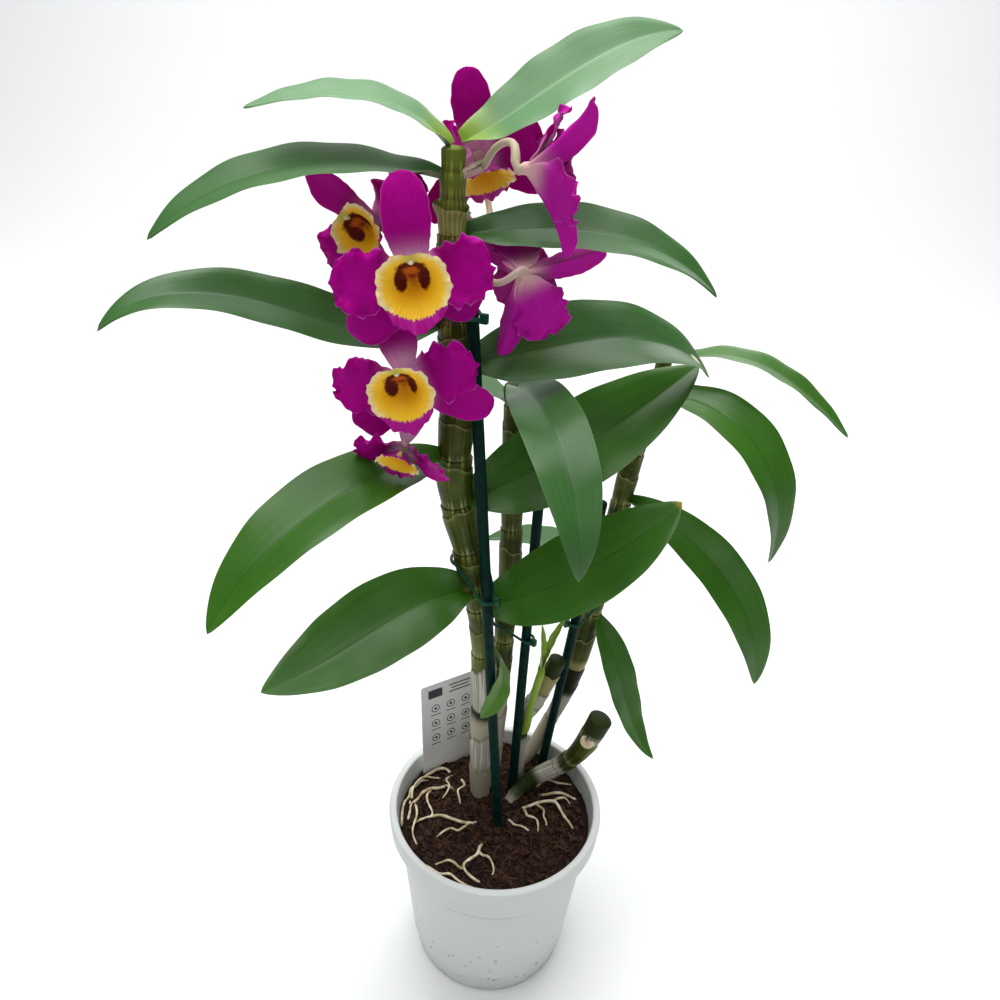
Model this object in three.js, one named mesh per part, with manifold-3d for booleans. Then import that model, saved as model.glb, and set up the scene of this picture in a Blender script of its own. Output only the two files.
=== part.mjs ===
// A flowering dendrobium orchid in its plastic nursery pot: canes, leaves, blooms, roots, support
// stakes with their clips, bark substrate and care card.
// Millimetres and degrees, +Z up. The origin is the centre of the pot's flat bottom, -Y is the front.
import * as THREE from 'three';
import { mergeVertices } from 'three/addons/utils/BufferGeometryUtils.js';
import Module from 'manifold-3d';

const wasm = await Module();
wasm.setup();

// ---------------------------------------------------------------- driving dimensions

const GAP = 0.35; // air between neighbouring pieces
const UP = new THREE.Vector3(0, 0, 1);
const AWAY = new THREE.Vector3(0, 1, 0);

const POT = {
  height: 108,
  rimRadius: 60,
  footRadius: 44.5,
  shoulderRadius: 55.6, // outer wall where the rim band starts
  wall: 1.4,
  floor: 1.8,
  band: 11, // height of the turned-down rim band
  bandGap: 1.5, // air between the band and the wall behind it
  bandDraft: 0.6, // the band is this much narrower at its lower edge
  rimRound: 1.3, // the rim's edges are cut back this far
  footHeight: 14,
  stepHeight: 80,
  step: 0.8, // each moulded ring steps the wall out by this much
  stepRun: 1, // over this height
  sides: 36,
  drains: 8,
  drainRadius: 4,
  drainSides: 8,
  drainCircle: 31,
};

const SOIL = {
  top: 97,
  bump: 1.1, // relief of the surface
  humps: [9, 8], // half the width of its humps, in x and y
  ripple: 4.6, // and of the smaller ripple across them
  rings: [52, 40, 27, 13],
  sides: 24,
};

const CARD = {
  width: 38,
  thickness: 0.6,
  above: 64, // height above the substrate
  below: 34, // pointed tail in the substrate
  tail: 12,
  corner: new THREE.Vector3(-44, 28, 97), // lower left corner at the surface
  turn: 32,
  leanBack: 3,
};

// Canes: points up the axis, girth as [height share, radius], and the heights of the leaf nodes.
const LONGEST_ROW = 0.13; // share of a cane's length
const NODE_RING = 1.6; // height of the step at a node
const PINCH = 0.86; // girth just above a node, as a share of the plain girth
const SWELL = 1.02; // and just below the next
const CANES = {
  cane_main: {
    colour: 0x6f7f2c,
    axis: [[-9, 15.5, 93.4], [-9.5, 14, 130], [-9.5, 11, 180], [-12, 8, 222], [-19.5, 5.5, 269],
      [-27, 5, 310], [-26, 5, 349], [-28, 5, 380], [-29.5, 5, 416], [-29.5, 5, 450]],
    girth: [[0, 6.2], [0.16, 6.6], [0.3, 6.3], [0.38, 5.6], [0.5, 7.2], [0.61, 8.2], [0.72, 7.8],
      [0.83, 6.8], [0.92, 5.8], [1, 4.6]],
    nodes: [121, 167, 208, 238, 252, 273, 298, 322, 347, 366, 383, 401, 418, 431, 441],
    sides: 9,
  },
  cane_second: {
    colour: 0x8c9a3c,
    axis: [[-3, 23, 93.4], [-1.5, 24, 150], [0, 25.5, 203], [1, 28, 254], [0, 30, 300], [-2, 30, 349]],
    girth: [[0, 4.8], [0.25, 5.2], [0.6, 5.7], [0.85, 5.4], [1, 4.2]],
    nodes: [128, 168, 204, 238, 272, 306, 338],
    sides: 8,
  },
  cane_old: {
    colour: 0xb9ad94,
    axis: [[13.5, 29.6, 93.4], [13, 30, 125], [14, 30, 143], [21, 30, 159], [31, 30, 188]],
    girth: [[0, 3.8], [0.35, 4.0], [0.6, 4.8], [0.8, 5.2], [1, 4.8]],
    nodes: [138, 165],
    sides: 8,
  },
  cane_right: {
    colour: 0x7d8b38,
    axis: [[16, 41.8, 93.4], [25, 43, 115], [40, 46, 156], [48, 48, 202], [54, 50, 242], [59.5, 52, 290],
      [67, 54, 334], [71, 55, 356]],
    girth: [[0, 4.0], [0.22, 4.6], [0.33, 6.2], [0.5, 5.6], [0.75, 5.4], [1, 3.8]],
    nodes: [132, 170, 209, 243, 278, 306, 334, 348],
    sides: 8,
  },
  cane_stub: {
    colour: 0x9c9a7c,
    axis: [[7.5, 9.5, 93.4], [11, 12.5, 99.5], [21, 20, 105], [36, 22, 114], [46, 20, 127], [53, 18, 145],
      [57, 18, 157]],
    girth: [[0, 3.6], [0.2, 4.4], [0.5, 5.2], [0.8, 6.2], [1, 6.6]],
    nodes: [103.5, 122],
    sides: 8,
  },
};

// Round green support stakes, from the buried tip to the top.
const STAKE = { radius: 2.6, point: 8, pointRadius: 0.6, bevel: 2, topRadius: 1.4, sides: 8 };
const STAKES = {
  stake_front: [[8, -8.3, 22], [-20.6, -5, 393]],
  stake_middle: [[8.6, 19.5, 22], [14, 23, 331]],
  stake_right: [[19.5, 33.5, 22], [47, 40, 284]],
};

// Clip rings that hold a cane to its stake: the pair, the ring's height at the cane and at the stake,
// and the side of the stake that its small clasp is on.
const CLIP = { wire: 0.8, clear: 0.7, sides: 4, steps: 18, clasp: [3.4, 2.6, 4.2] };
const CLIPS = {
  clip_upper: { cane: 'cane_main', stake: 'stake_front', heights: [390, 388], clasp: -20 },
  clip_lower: { cane: 'cane_main', stake: 'stake_front', heights: [267, 252], clasp: -20 },
  clip_middle: { cane: 'cane_second', stake: 'stake_middle', heights: [216, 208], clasp: -40 },
  clip_right: { cane: 'cane_right', stake: 'stake_right', heights: [222, 208], clasp: 200 },
};

// Leaves. Each starts on its cane at the given height. turn is the compass angle of the midrib at
// the foot and at the tip, rise its slope at the foot, halfway and at the tip, roll its twist.
const LEAF = { thickness: 0.8, fold: 14, along: 10, across: 2, peak: 0.45, foot: 0.16, blunt: 0.75,
  ruffle: 0.35 };
const LEAVES = {
  leaf_main_0: { cane: 'cane_main', height: 214, turn: [-14, -180], rise: [-15, -45, -55], length: 46,
    width: 15, roll: [60, 70] },
  leaf_main_1: { cane: 'cane_main', height: 238, turn: [-16, 19], rise: [22, 35, 43], length: 115,
    width: 43, roll: [-39, -30] },
  leaf_main_2: { cane: 'cane_main', height: 248, turn: [212, 221], rise: [20, -17, 8], length: 113,
    width: 43, roll: [38, 12] },
  leaf_main_3: { cane: 'cane_main', height: 299, turn: [-1, 29], rise: [20, 31, 29], length: 128,
    width: 43, roll: [-60, -24] },
  leaf_main_4: { cane: 'cane_main', height: 320, turn: [216, 220], rise: [11, -22, -57], length: 135,
    width: 34, roll: [22, 20] },
  leaf_main_5: { cane: 'cane_main', height: 364, turn: [0, 19], rise: [11, 5, -52], length: 121,
    width: 37, roll: [-58, -18] },
  leaf_main_6: { cane: 'cane_main', height: 383, turn: [193, 200], rise: [-24, 18, -48], length: 142,
    width: 26, roll: [42, 27] },
  leaf_main_7: { cane: 'cane_main', height: 417, turn: [-7, -2], rise: [11, -5, -47], length: 112,
    width: 24, roll: [-48, -23] },
  leaf_main_8: { cane: 'cane_main', height: 437, turn: [195, 197], rise: [15, -9, -43], length: 119,
    width: 26, roll: [14, 28] },
  leaf_main_9: { cane: 'cane_main', height: 446, turn: [186, 194], rise: [58, 5, -15], length: 82,
    width: 21, roll: [20, 15] },
  leaf_main_10: { cane: 'cane_main', height: 449, turn: [0, 17], rise: [24, 33, 3], length: 94,
    width: 28, roll: [-36, -43] },
  leaf_second_1: { cane: 'cane_second', height: 336, turn: [150, 160], rise: [25, 0, -30], length: 75,
    width: 26, roll: [0, 0] },
  leaf_second_2: { cane: 'cane_second', height: 346, turn: [-75, -67], rise: [25, -25, -90],
    length: 123, width: 28, roll: [-28, -2] },
  leaf_right_1: { cane: 'cane_right', height: 210, turn: [-48, -25], rise: [-35, -68, -40], length: 98,
    width: 20, roll: [-28, -11] },
  leaf_right_2: { cane: 'cane_right', height: 240, turn: [165, 175], rise: [20, 5, -20], length: 70,
    width: 24, roll: [0, 0] },
  leaf_right_3: { cane: 'cane_right', height: 280, turn: [-28, -28], rise: [-8, -44, -88], length: 133,
    width: 27, roll: [-23, -49] },
  leaf_right_4: { cane: 'cane_right', height: 334, turn: [-39, -16], rise: [32, -47, -97], length: 124,
    width: 27, roll: [-20, -35] },
  leaf_right_5: { cane: 'cane_right', height: 351, turn: [-15, -6], rise: [39, -21, -43], length: 105,
    width: 21, roll: [6, -24] },
};

// Blooms. centre is where sepals and petals meet; face is the compass angle and slope of the way the
// flower looks, spin its turn about that axis, cup how far its segments lean forward, lean how much
// more some of them do, by the angle they stand at, reach how long some of them are as a share of the
// usual, and droop how far the lip hangs below the way the flower looks.
const BLOOM = { spin: 0, size: 1, cup: 0, lean: {}, reach: {}, droop: 0 };
const BLOOMS = {
  bloom_1: { centre: [-42, -18, 405], face: [-84, 3], spin: 7, size: 0.98 },
  bloom_2: { centre: [-59.5, 5, 420], face: [-126, 0], spin: 46, size: 0.84, cup: 20,
    lean: { '-30': -30, 6: -50, 90: 12 }, reach: { '-30': 0.6 }, droop: 14 },
  bloom_3: { centre: [-45, -20, 366], face: [-92, -6], spin: 13, size: 0.94, lean: { 90: -16 } },
  bloom_4: { centre: [-46, -21, 338.35], face: [-108, -42], spin: -20, size: 0.66, cup: 14,
    lean: { 90: -80 } },
  bloom_5: { centre: [-2, -24, 446], face: [14, 4], spin: 40, size: 0.86, cup: 22, lean: { 6: 10, 90: 12 } },
  bloom_6: { centre: [-21, 25, 445], face: [-74, -10], spin: 14, size: 0.84, cup: 3,
    lean: { 176: -80 }, droop: 48 },
  bloom_7: { centre: [-1, -8, 407], face: [80, -20], spin: 66, size: 0.9, cup: 20 },
};
// Sepals lie in a layer behind the petals; layer is how far it is in front of the bloom's middle.
const SEPAL = { length: 38, width: 18.5, peak: 0.55, foot: 0.27, blunt: 0.5, rise: [10, 2, -20], fold: 6,
  ruffle: 0, thickness: 0.8, along: 5, across: 2, layer: -0.9 };
const PETAL = { length: 30, width: 25, peak: 0.6, foot: 0.17, blunt: 0.5, rise: [14, 5, -10], fold: 3,
  ruffle: 1.3, thickness: 0.8, along: 6, across: 4, layer: 0.7 };
const SEPAL_ANGLES = [90, -30, -142]; // 90 is the top one
const PETAL_ANGLES = [6, 176];
const BOSS = { radius: 2.6, depth: 3.8, sides: 7 };
const LIP = {
  outside: [[0, 2.4], [2.4, 2.4], [6.3, 7.2], [9.7, 12.4], [13.4, 15.2]],
  inside: [[13, 16], [8.8, 13.3], [4.7, 8.2], [0, 5]],
  sides: 12,
  flareFrom: 8, // the frill and the front lobe grow from this depth to the rim
  frill: 0.04,
  frills: 6,
  chin: [2.6, 1.6], // the front lobe reaches this much lower and forward
  liftPerDegree: 0.04, // a drooping lip sits this much farther forward
};
const COLUMN = { radius: 1.6, footRadius: 1.3, length: 10, tilt: -22, foot: [0, 3, 5], sides: 6 };
const PEDICEL = { radius: 1.5, rootRadius: 1.8, sides: 5, straight: 4.5 };
// Flower stalks: a short stalk out of the main cane at a height and on the side that turn gives, which
// forks to its blooms.
const STALKS = {
  stalk_1: { height: 403, turn: 208, fork: [-40, 1, 406],
    to: { bloom_1: [[-42, -4, 406]], bloom_2: [[-44, 3, 416]] } },
  stalk_2: { height: 352, turn: 210, fork: [-38, -1, 353],
    to: { bloom_3: [[-43, -7, 361]], bloom_4: [[-38, -8, 348]] } },
  stalk_3: { height: 440, turn: -15, fork: [-18, 2, 443], to: { bloom_5: [[-13, -13, 453]] } },
  stalk_4: { height: 401, turn: -20, fork: [-16, -1, 402], to: { bloom_7: [[-9, -12, 404]] } },
  stalk_5: { height: 428, turn: 70, fork: [-23, 16, 421], to: { bloom_6: [[-16, 30, 421], [-19, 38, 433]] } },
};

const CROWN = {
  points: [[7.5, 9.5, 88], [-1, 11, 88], [-9, 16, 88], [-3, 24, 88], [6, 29, 88], [14, 31, 88], [16, 42, 88]],
  radius: 4.4,
  sides: 7,
  steps: 9,
};
const ROOT = { radius: 1.5, taper: 0.35, sides: 4 };
// Air roots that leave the buried crown and run over the substrate.
const ROOTS = [
  [[7.5, 9.5, 88], [10, 4, 90], [17, 4, 97], [24, 8, 99], [33, 9, 98.6], [40, 0, 98.4], [45, -9, 98]],
  [[-2, 11, 88], [-7, 2, 90], [-14, -9, 98.5], [-34, -5, 99], [-45, -10, 98.2]],
  [[-8, 16, 88], [-18, 16, 89.5], [-26, 17, 97], [-38, 14, 99], [-47, 4, 98.6], [-49, -8, 98]],
  [[-8, 16, 88], [-17, 22, 89.5], [-25, 27, 97], [-36, 30, 98.6], [-48, 15, 98.2]],
  [[2, 10, 88], [-2, -4, 90], [-8, -26, 97.6], [-16, -38, 98.6], [-6, -46, 98.2]],
  [[14, 31, 88], [20, 21, 89.5], [27, 15, 97.4], [36, 16, 98.8], [48, 12, 98]],
];
const SHOOT = {
  stem: [[15.4, 23.3, 141], [18, 22, 165], [22, 21.5, 188]],
  forks: [[[21.5, 21, 202], [21, 22, 218]], [[27, 23, 206], [33, 26, 222]]],
  radius: 2.1,
  forkRadii: [2, 1],
  sides: 6,
};

const COLOUR = {
  pot: 0xf4f4f2,
  soil: 0x3b2218,
  card: 0xd9dadd,
  stake: 0x0f2a2b,
  clip: 0x0e4a3c,
  leaf: 0x2e5a24,
  youngLeaf: 0x7fa62c,
  perianth: 0xa5128f,
  lip: 0xf2a60c,
  stalk: 0xcbb0b2,
  root: 0xd8c8a4,
};

// ---------------------------------------------------------------- small helpers

const part = new THREE.Group();
const vector = (xyz) => new THREE.Vector3(...xyz);
const radians = THREE.MathUtils.degToRad;
const lerp = THREE.MathUtils.lerp;
const clamp = THREE.MathUtils.clamp;

function heading(turn, rise) {
  const [a, e] = [radians(turn), radians(rise)];
  return new THREE.Vector3(Math.cos(e) * Math.cos(a), Math.cos(e) * Math.sin(a), Math.sin(e));
}

function add(name, geometry, colour, roughness) {
  const shape = geometry.index ? geometry.toNonIndexed() : geometry;
  shape.computeVertexNormals();
  const material = new THREE.MeshStandardMaterial({ color: colour, roughness, metalness: 0 });
  const mesh = new THREE.Mesh(shape, material);
  mesh.name = name;
  part.add(mesh);
}

function solid(geometry) {
  const bare = geometry.clone();
  bare.deleteAttribute('normal');
  bare.deleteAttribute('uv');
  const welded = mergeVertices(bare, 1e-4);
  const index = welded.index.array;
  const kept = [];
  for (let i = 0; i < index.length; i += 3) {
    const [a, b, c] = index.slice(i, i + 3);
    if (a !== b && b !== c && c !== a) kept.push(a, b, c);
  }
  const vertProperties = welded.getAttribute('position').array;
  return new wasm.Manifold(new wasm.Mesh({ numProp: 3, vertProperties, triVerts: Uint32Array.from(kept) }));
}

function geometryOf(manifold) {
  const mesh = manifold.getMesh();
  const geometry = new THREE.BufferGeometry();
  geometry.setAttribute('position', new THREE.BufferAttribute(mesh.vertProperties, 3));
  geometry.setIndex(new THREE.BufferAttribute(mesh.triVerts, 1));
  return geometry;
}

function joined(solids) {
  return solids.reduce((whole, piece) => whole.add(piece));
}

// Slides a piece towards its host until only GAP is left between them. build(reach) makes the piece
// with its foot at that distance from the host's axis.
function seated(build, host) {
  const start = 14;
  let reach = start;
  for (let i = 0; i < 12; i++) reach += GAP - build(reach).minGap(host, start);
  return build(reach);
}

// The value at x of a line through [x, value] pairs.
function along(pairs, x) {
  const next = pairs.findIndex((pair) => pair[0] >= x);
  if (next < 0) return pairs.at(-1)[1];
  if (next === 0) return pairs[0][1];
  const [[x0, y0], [x1, y1]] = [pairs[next - 1], pairs[next]];
  return lerp(y0, y1, (x - x0) / (x1 - x0));
}

// A round stem along a curve: a capped cylinder whose rows sit at the given shares of the curve's
// length, each with the radius that radiusAt(share) gives. overrun lengthens it at both ends.
function stem(curve, shares, sides, radiusAt, sideways = AWAY, overrun = 0) {
  const geometry = new THREE.CylinderGeometry(1, 1, 1, sides, shares.length - 1);
  const position = geometry.getAttribute('position');
  const rows = shares.map((share, i) => {
    const tangent = curve.getTangentAt(share);
    const beyond = i === 0 ? -overrun : i === shares.length - 1 ? overrun : 0;
    const middle = curve.getPointAt(share).addScaledVector(tangent, beyond);
    const side = tangent.clone().cross(sideways).normalize();
    return { middle, side, ahead: side.clone().cross(tangent) };
  });
  for (let i = 0; i < position.count; i++) {
    const row = Math.round((position.getY(i) + 0.5) * (shares.length - 1));
    const [x, z] = [position.getX(i), position.getZ(i)];
    const radius = Math.hypot(x, z) * radiusAt(shares[row]);
    const angle = Math.atan2(z, x);
    const point = rows[row].middle.clone()
      .addScaledVector(rows[row].side, radius * Math.cos(angle))
      .addScaledVector(rows[row].ahead, radius * Math.sin(angle));
    position.setXYZ(i, point.x, point.y, point.z);
  }
  return geometry;
}

function curveThrough(points) {
  return new THREE.CatmullRomCurve3(points.map(vector), false, 'centripetal');
}

function evenShares(steps) {
  return Array.from({ length: steps + 1 }, (_, i) => i / steps);
}

// A closed sheet of even thickness. place(u, v) gives the point and normal of its middle surface,
// u from 0 to 1 along it and v from -1 to 1 across it; both faces are split alike.
function sheet(alongCells, acrossCells, thickness, place) {
  const plane = new THREE.PlaneGeometry(1, 2, alongCells, acrossCells);
  const grid = plane.getAttribute('position');
  const faces = plane.index.array;
  const corners = [];
  for (const side of [1, -1]) {
    for (let i = 0; i < grid.count; i++) {
      const { point, normal } = place(grid.getX(i) + 0.5, -grid.getY(i));
      corners.push(...point.clone().addScaledVector(normal, (side * thickness) / 2).toArray());
    }
  }
  const index = [...faces];
  for (let i = 0; i < faces.length; i += 3) {
    index.push(faces[i] + grid.count, faces[i + 2] + grid.count, faces[i + 1] + grid.count);
  }
  const row = alongCells + 1;
  const rim = [];
  for (let i = 0; i < alongCells; i++) rim.push(i);
  for (let j = 0; j < acrossCells; j++) rim.push(j * row + alongCells);
  for (let i = alongCells; i > 0; i--) rim.push(acrossCells * row + i);
  for (let j = acrossCells; j > 0; j--) rim.push(j * row);
  rim.forEach((a, i) => {
    const b = rim[(i + 1) % rim.length];
    index.push(a, b, b + grid.count, a, b + grid.count, a + grid.count);
  });
  const geometry = new THREE.BufferGeometry();
  geometry.setAttribute('position', new THREE.Float32BufferAttribute(corners, 3));
  geometry.setIndex(index);
  return geometry;
}

// ---------------------------------------------------------------- blades: leaves, sepals and petals

// Share of the full width at a share of the length: narrow foot, widest at the peak, pointed tip.
function bladeOutline(share, { peak, foot, blunt }) {
  if (share < peak) return foot + (1 - foot) * Math.sin((Math.PI / 2) * (share / peak)) ** 0.8;
  return Math.max(Math.cos((Math.PI / 2) * ((share - peak) / (1 - peak)) ** 1.15), 0) ** blunt;
}

// Points and directions along a midrib that starts at foot.
function midrib(foot, blade, steps) {
  const points = [];
  const point = foot.clone();
  let last = null;
  for (let i = 0; i <= steps; i++) {
    const s = i / steps;
    const [e0, e1, e2] = blade.rise;
    const rise = radians(e0 * (1 - s) * (1 - 2 * s) + e1 * 4 * s * (1 - s) + e2 * s * (2 * s - 1));
    const turn = radians(lerp(...blade.turn, s));
    const roll = radians(lerp(...blade.roll, s));
    const tangent = new THREE.Vector3(
      Math.cos(rise) * Math.cos(turn), Math.cos(rise) * Math.sin(turn), Math.sin(rise));
    const level = new THREE.Vector3(Math.sin(turn), -Math.cos(turn), 0);
    const over = level.clone().cross(tangent);
    if (last) point.addScaledVector(tangent.clone().add(last), blade.length / steps / 2);
    const across = level.clone().multiplyScalar(Math.cos(roll)).addScaledVector(over, Math.sin(roll));
    const normal = over.clone().multiplyScalar(Math.cos(roll)).addScaledVector(level, -Math.sin(roll));
    points.push({ point: point.clone(), across, normal });
    last = tangent;
  }
  return points;
}

// A folded, waved blade. start is the share of the midrib at which the blade begins.
function bladeSheet(foot, blade, start = 0) {
  const steps = 24;
  const rib = midrib(foot, blade, steps);
  const fold = radians(blade.fold);
  return sheet(blade.along, blade.across, blade.thickness, (u, v) => {
    const share = lerp(start, 1, u);
    const k = Math.min(Math.floor(share * steps), steps - 1);
    const f = share * steps - k;
    const [a, b] = [rib[k], rib[k + 1]];
    const across = a.across.clone().lerp(b.across, f).normalize();
    const normal = a.normal.clone().lerp(b.normal, f).normalize();
    const outline = bladeOutline(share, blade);
    const half = Math.max((blade.width / 2) * outline, 0.7);
    const wave = blade.ruffle * v * v * outline * Math.sin(blade.along * share * Math.PI);
    const point = a.point.clone().lerp(b.point, f)
      .addScaledVector(across, half * v * Math.cos(fold))
      .addScaledVector(normal, half * Math.abs(v) * Math.sin(fold) + wave);
    return { point, normal };
  });
}

// ---------------------------------------------------------------- pot, substrate, card

function potWallRadius(z) {
  const rings = (z > POT.footHeight ? POT.step : 0) + (z > POT.stepHeight ? POT.step : 0);
  const plain = lerp(POT.footRadius, POT.shoulderRadius - 2 * POT.step, z / (POT.height - POT.band));
  return plain + rings;
}

function potInnerRadius(z) {
  const innerRim = POT.rimRadius - 2 * POT.wall - POT.bandGap;
  return lerp(POT.footRadius - POT.wall, innerRim, z / POT.height);
}

function buildPot() {
  const bandFoot = POT.height - POT.band;
  const underLip = POT.height - POT.wall;
  const behindBand = POT.rimRadius - POT.wall - POT.bandGap;
  const profile = [
    [0, 0],
    [POT.footRadius, 0],
    [potWallRadius(POT.footHeight), POT.footHeight],
    [potWallRadius(POT.footHeight + POT.stepRun), POT.footHeight + POT.stepRun],
    [potWallRadius(POT.stepHeight), POT.stepHeight],
    [potWallRadius(POT.stepHeight + POT.stepRun), POT.stepHeight + POT.stepRun],
    [behindBand - POT.step, bandFoot],
    [behindBand, underLip],
    [POT.rimRadius - POT.wall, underLip],
    [POT.rimRadius - POT.wall - POT.bandDraft, bandFoot],
    [POT.rimRadius - POT.bandDraft, bandFoot],
    [POT.rimRadius, POT.height - POT.rimRound],
    [POT.rimRadius - POT.rimRound, POT.height],
    [potInnerRadius(POT.height) + POT.rimRound, POT.height],
    [potInnerRadius(POT.height - POT.rimRound), POT.height - POT.rimRound],
    [potInnerRadius(POT.floor), POT.floor],
    [0, POT.floor],
  ];
  const shell = new THREE.LatheGeometry(profile.map((p) => new THREE.Vector2(...p)), POT.sides);
  shell.rotateX(Math.PI / 2);
  let pot = solid(shell);
  for (let i = 0; i < POT.drains; i++) {
    const hole = new THREE.CylinderGeometry(POT.drainRadius, POT.drainRadius, 3 * POT.floor, POT.drainSides);
    hole.rotateX(Math.PI / 2);
    const spot = heading((360 / POT.drains) * (i + 0.5), 0).multiplyScalar(POT.drainCircle);
    hole.translate(spot.x, spot.y, 0);
    pot = pot.subtract(solid(hole));
  }
  add('pot', geometryOf(pot), COLOUR.pot, 0.45);
}

// Height of the uneven substrate surface.
function soilHeight(x, y) {
  const [wide, deep] = SOIL.humps;
  const humps = Math.sin(x / wide + 1) * Math.cos(y / deep);
  return SOIL.top + SOIL.bump * (humps + 0.5 * Math.sin((x - y) / SOIL.ripple));
}

function plainSoil() {
  const floor = POT.floor + GAP;
  const profile = [
    [0, floor],
    [potInnerRadius(floor) - 2 * GAP, floor],
    ...SOIL.rings.map((radius) => [radius, SOIL.top]),
    [0, SOIL.top],
  ];
  const geometry = new THREE.LatheGeometry(profile.map((p) => new THREE.Vector2(...p)), SOIL.sides);
  geometry.rotateX(Math.PI / 2);
  const position = geometry.getAttribute('position');
  for (let i = 0; i < position.count; i++) {
    const [x, y, z] = [position.getX(i), position.getY(i), position.getZ(i)];
    if (z > SOIL.top - 1) position.setZ(i, soilHeight(x, y));
  }
  return solid(geometry);
}

// The care card: a stiff plastic tag with a pointed tail. spare widens it into its slot.
function cardSolid(spare) {
  const half = CARD.width / 2 + spare;
  const tip = -CARD.below - spare;
  const outline = new THREE.Shape();
  outline.moveTo(-half, CARD.above);
  outline.lineTo(-half, tip + CARD.tail);
  outline.lineTo(-half / 3, tip);
  outline.lineTo(half / 3, tip);
  outline.lineTo(half, tip + CARD.tail);
  outline.lineTo(half, CARD.above);
  outline.closePath();
  const thickness = CARD.thickness + 2 * spare;
  const card = new THREE.ExtrudeGeometry(outline, { depth: thickness, bevelEnabled: false });
  card.translate(CARD.width / 2, 0, -thickness / 2);
  card.rotateX(Math.PI / 2 - radians(CARD.leanBack));
  card.rotateZ(radians(CARD.turn));
  card.translate(...CARD.corner.toArray());
  return solid(card);
}

// ---------------------------------------------------------------- canes, stakes and clips

const caneCurves = new Map();
for (const [name, cane] of Object.entries(CANES)) caneCurves.set(name, curveThrough(cane.axis));

// Share of a rising curve's length at which it passes a height.
function shareAtHeight(curve, height) {
  let [low, high] = [0, 1];
  for (let i = 0; i < 24; i++) {
    const middle = (low + high) / 2;
    if (curve.getPointAt(middle).z < height) low = middle;
    else high = middle;
  }
  return (low + high) / 2;
}

// Each leaf sheath swells up to the next node, where the cane is pinched in.
function caneRadius(cane, nodeShares, share) {
  const plain = along(cane.girth, share);
  const below = nodeShares.filter((node) => node <= share + 1e-6).at(-1) ?? 0;
  const above = nodeShares.find((node) => node > share + 1e-6) ?? 1;
  const climb = (share - below) / Math.max(above - below, 1e-6);
  return plain * lerp(PINCH, SWELL, clamp(climb * 1.3, 0, 1));
}

// Rows of a cane: two close ones at each node, and more wherever the next is far off.
function caneShares(curve, nodeShares) {
  const ring = NODE_RING / curve.getLength();
  const shares = [0];
  for (const share of [...nodeShares.flatMap((node) => [node - ring, node]), 1]) {
    const reach = share - shares.at(-1);
    const steps = Math.ceil(reach / LONGEST_ROW);
    const from = shares.at(-1);
    for (let i = 1; i <= steps; i++) shares.push(from + (reach * i) / steps);
  }
  return shares;
}

function caneSolid(name) {
  const cane = CANES[name];
  const curve = caneCurves.get(name);
  const nodeShares = cane.nodes.map((height) => shareAtHeight(curve, height));
  const shares = caneShares(curve, nodeShares);
  const radiusAt = (share) => caneRadius(cane, nodeShares, share);
  return solid(stem(curve, shares, cane.sides, radiusAt));
}

// The plain hole that a cane needs in the substrate.
function caneHole(name) {
  const cane = CANES[name];
  const curve = caneCurves.get(name);
  const top = shareAtHeight(curve, POT.height);
  const nodeShares = cane.nodes.map((height) => shareAtHeight(curve, height));
  const shares = caneShares(curve, nodeShares).filter((share) => share < top);
  const widest = Math.max(along(cane.girth, 0), along(cane.girth, top)) * 1.04 + GAP;
  return solid(stem(curve, [...shares, top], cane.sides, () => widest, AWAY, GAP));
}

function stakeSolid(name, spare) {
  const [tip, top] = STAKES[name].map(vector);
  const length = tip.distanceTo(top);
  const line = new THREE.LineCurve3(tip, top);
  const shares = [0, STAKE.point / length, 1 - STAKE.bevel / length, 1];
  const radii = [STAKE.pointRadius, STAKE.radius, STAKE.radius, STAKE.topRadius];
  return solid(stem(line, shares, STAKE.sides, (share) => radii[shares.indexOf(share)] + spare));
}

function stakeAxisAt(name, height) {
  const [tip, top] = STAKES[name].map(vector);
  return tip.lerp(top, (height - tip.z) / (top.z - tip.z));
}

// A ring that runs round the cane and its stake, as a stretched torus, with a small clasp.
function buildClip(name) {
  const clip = CLIPS[name];
  const curve = caneCurves.get(clip.cane);
  const [caneHeight, stakeHeight] = clip.heights;
  const share = shareAtHeight(curve, caneHeight);
  const caneGirth = along(CANES[clip.cane].girth, share) * SWELL;
  const circles = [
    { middle: curve.getPointAt(share), radius: caneGirth + CLIP.clear },
    { middle: stakeAxisAt(clip.stake, stakeHeight), radius: STAKE.radius + CLIP.clear },
  ];
  const ringRadius = caneGirth + STAKE.radius;
  const ring = new THREE.TorusGeometry(ringRadius, CLIP.wire, CLIP.sides, CLIP.steps);
  const position = ring.getAttribute('position');
  for (let i = 0; i < position.count; i++) {
    const angle = Math.atan2(position.getY(i), position.getX(i));
    const outwards = new THREE.Vector3(Math.cos(angle), Math.sin(angle), 0);
    const offset = Math.hypot(position.getX(i), position.getY(i)) - ringRadius + CLIP.wire;
    const reach = (circle) => circle.middle.x * outwards.x + circle.middle.y * outwards.y + circle.radius;
    const circle = reach(circles[0]) > reach(circles[1]) ? circles[0] : circles[1];
    const point = circle.middle.clone().addScaledVector(outwards, circle.radius + offset);
    position.setXYZ(i, point.x, point.y, circle.middle.z + position.getZ(i));
  }
  const outwards = heading(clip.clasp, 0);
  const clasp = new THREE.BoxGeometry(...CLIP.clasp);
  clasp.rotateZ(radians(clip.clasp));
  const [, stake] = circles;
  const claspReach = stake.radius + CLIP.wire + CLIP.clasp[0] / 2;
  clasp.translate(...stake.middle.clone().addScaledVector(outwards, claspReach - CLIP.wire).toArray());
  add(name, geometryOf(solid(ring).add(solid(clasp))), COLOUR.clip, 0.4);
}

// ---------------------------------------------------------------- crown, roots and young shoot

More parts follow.
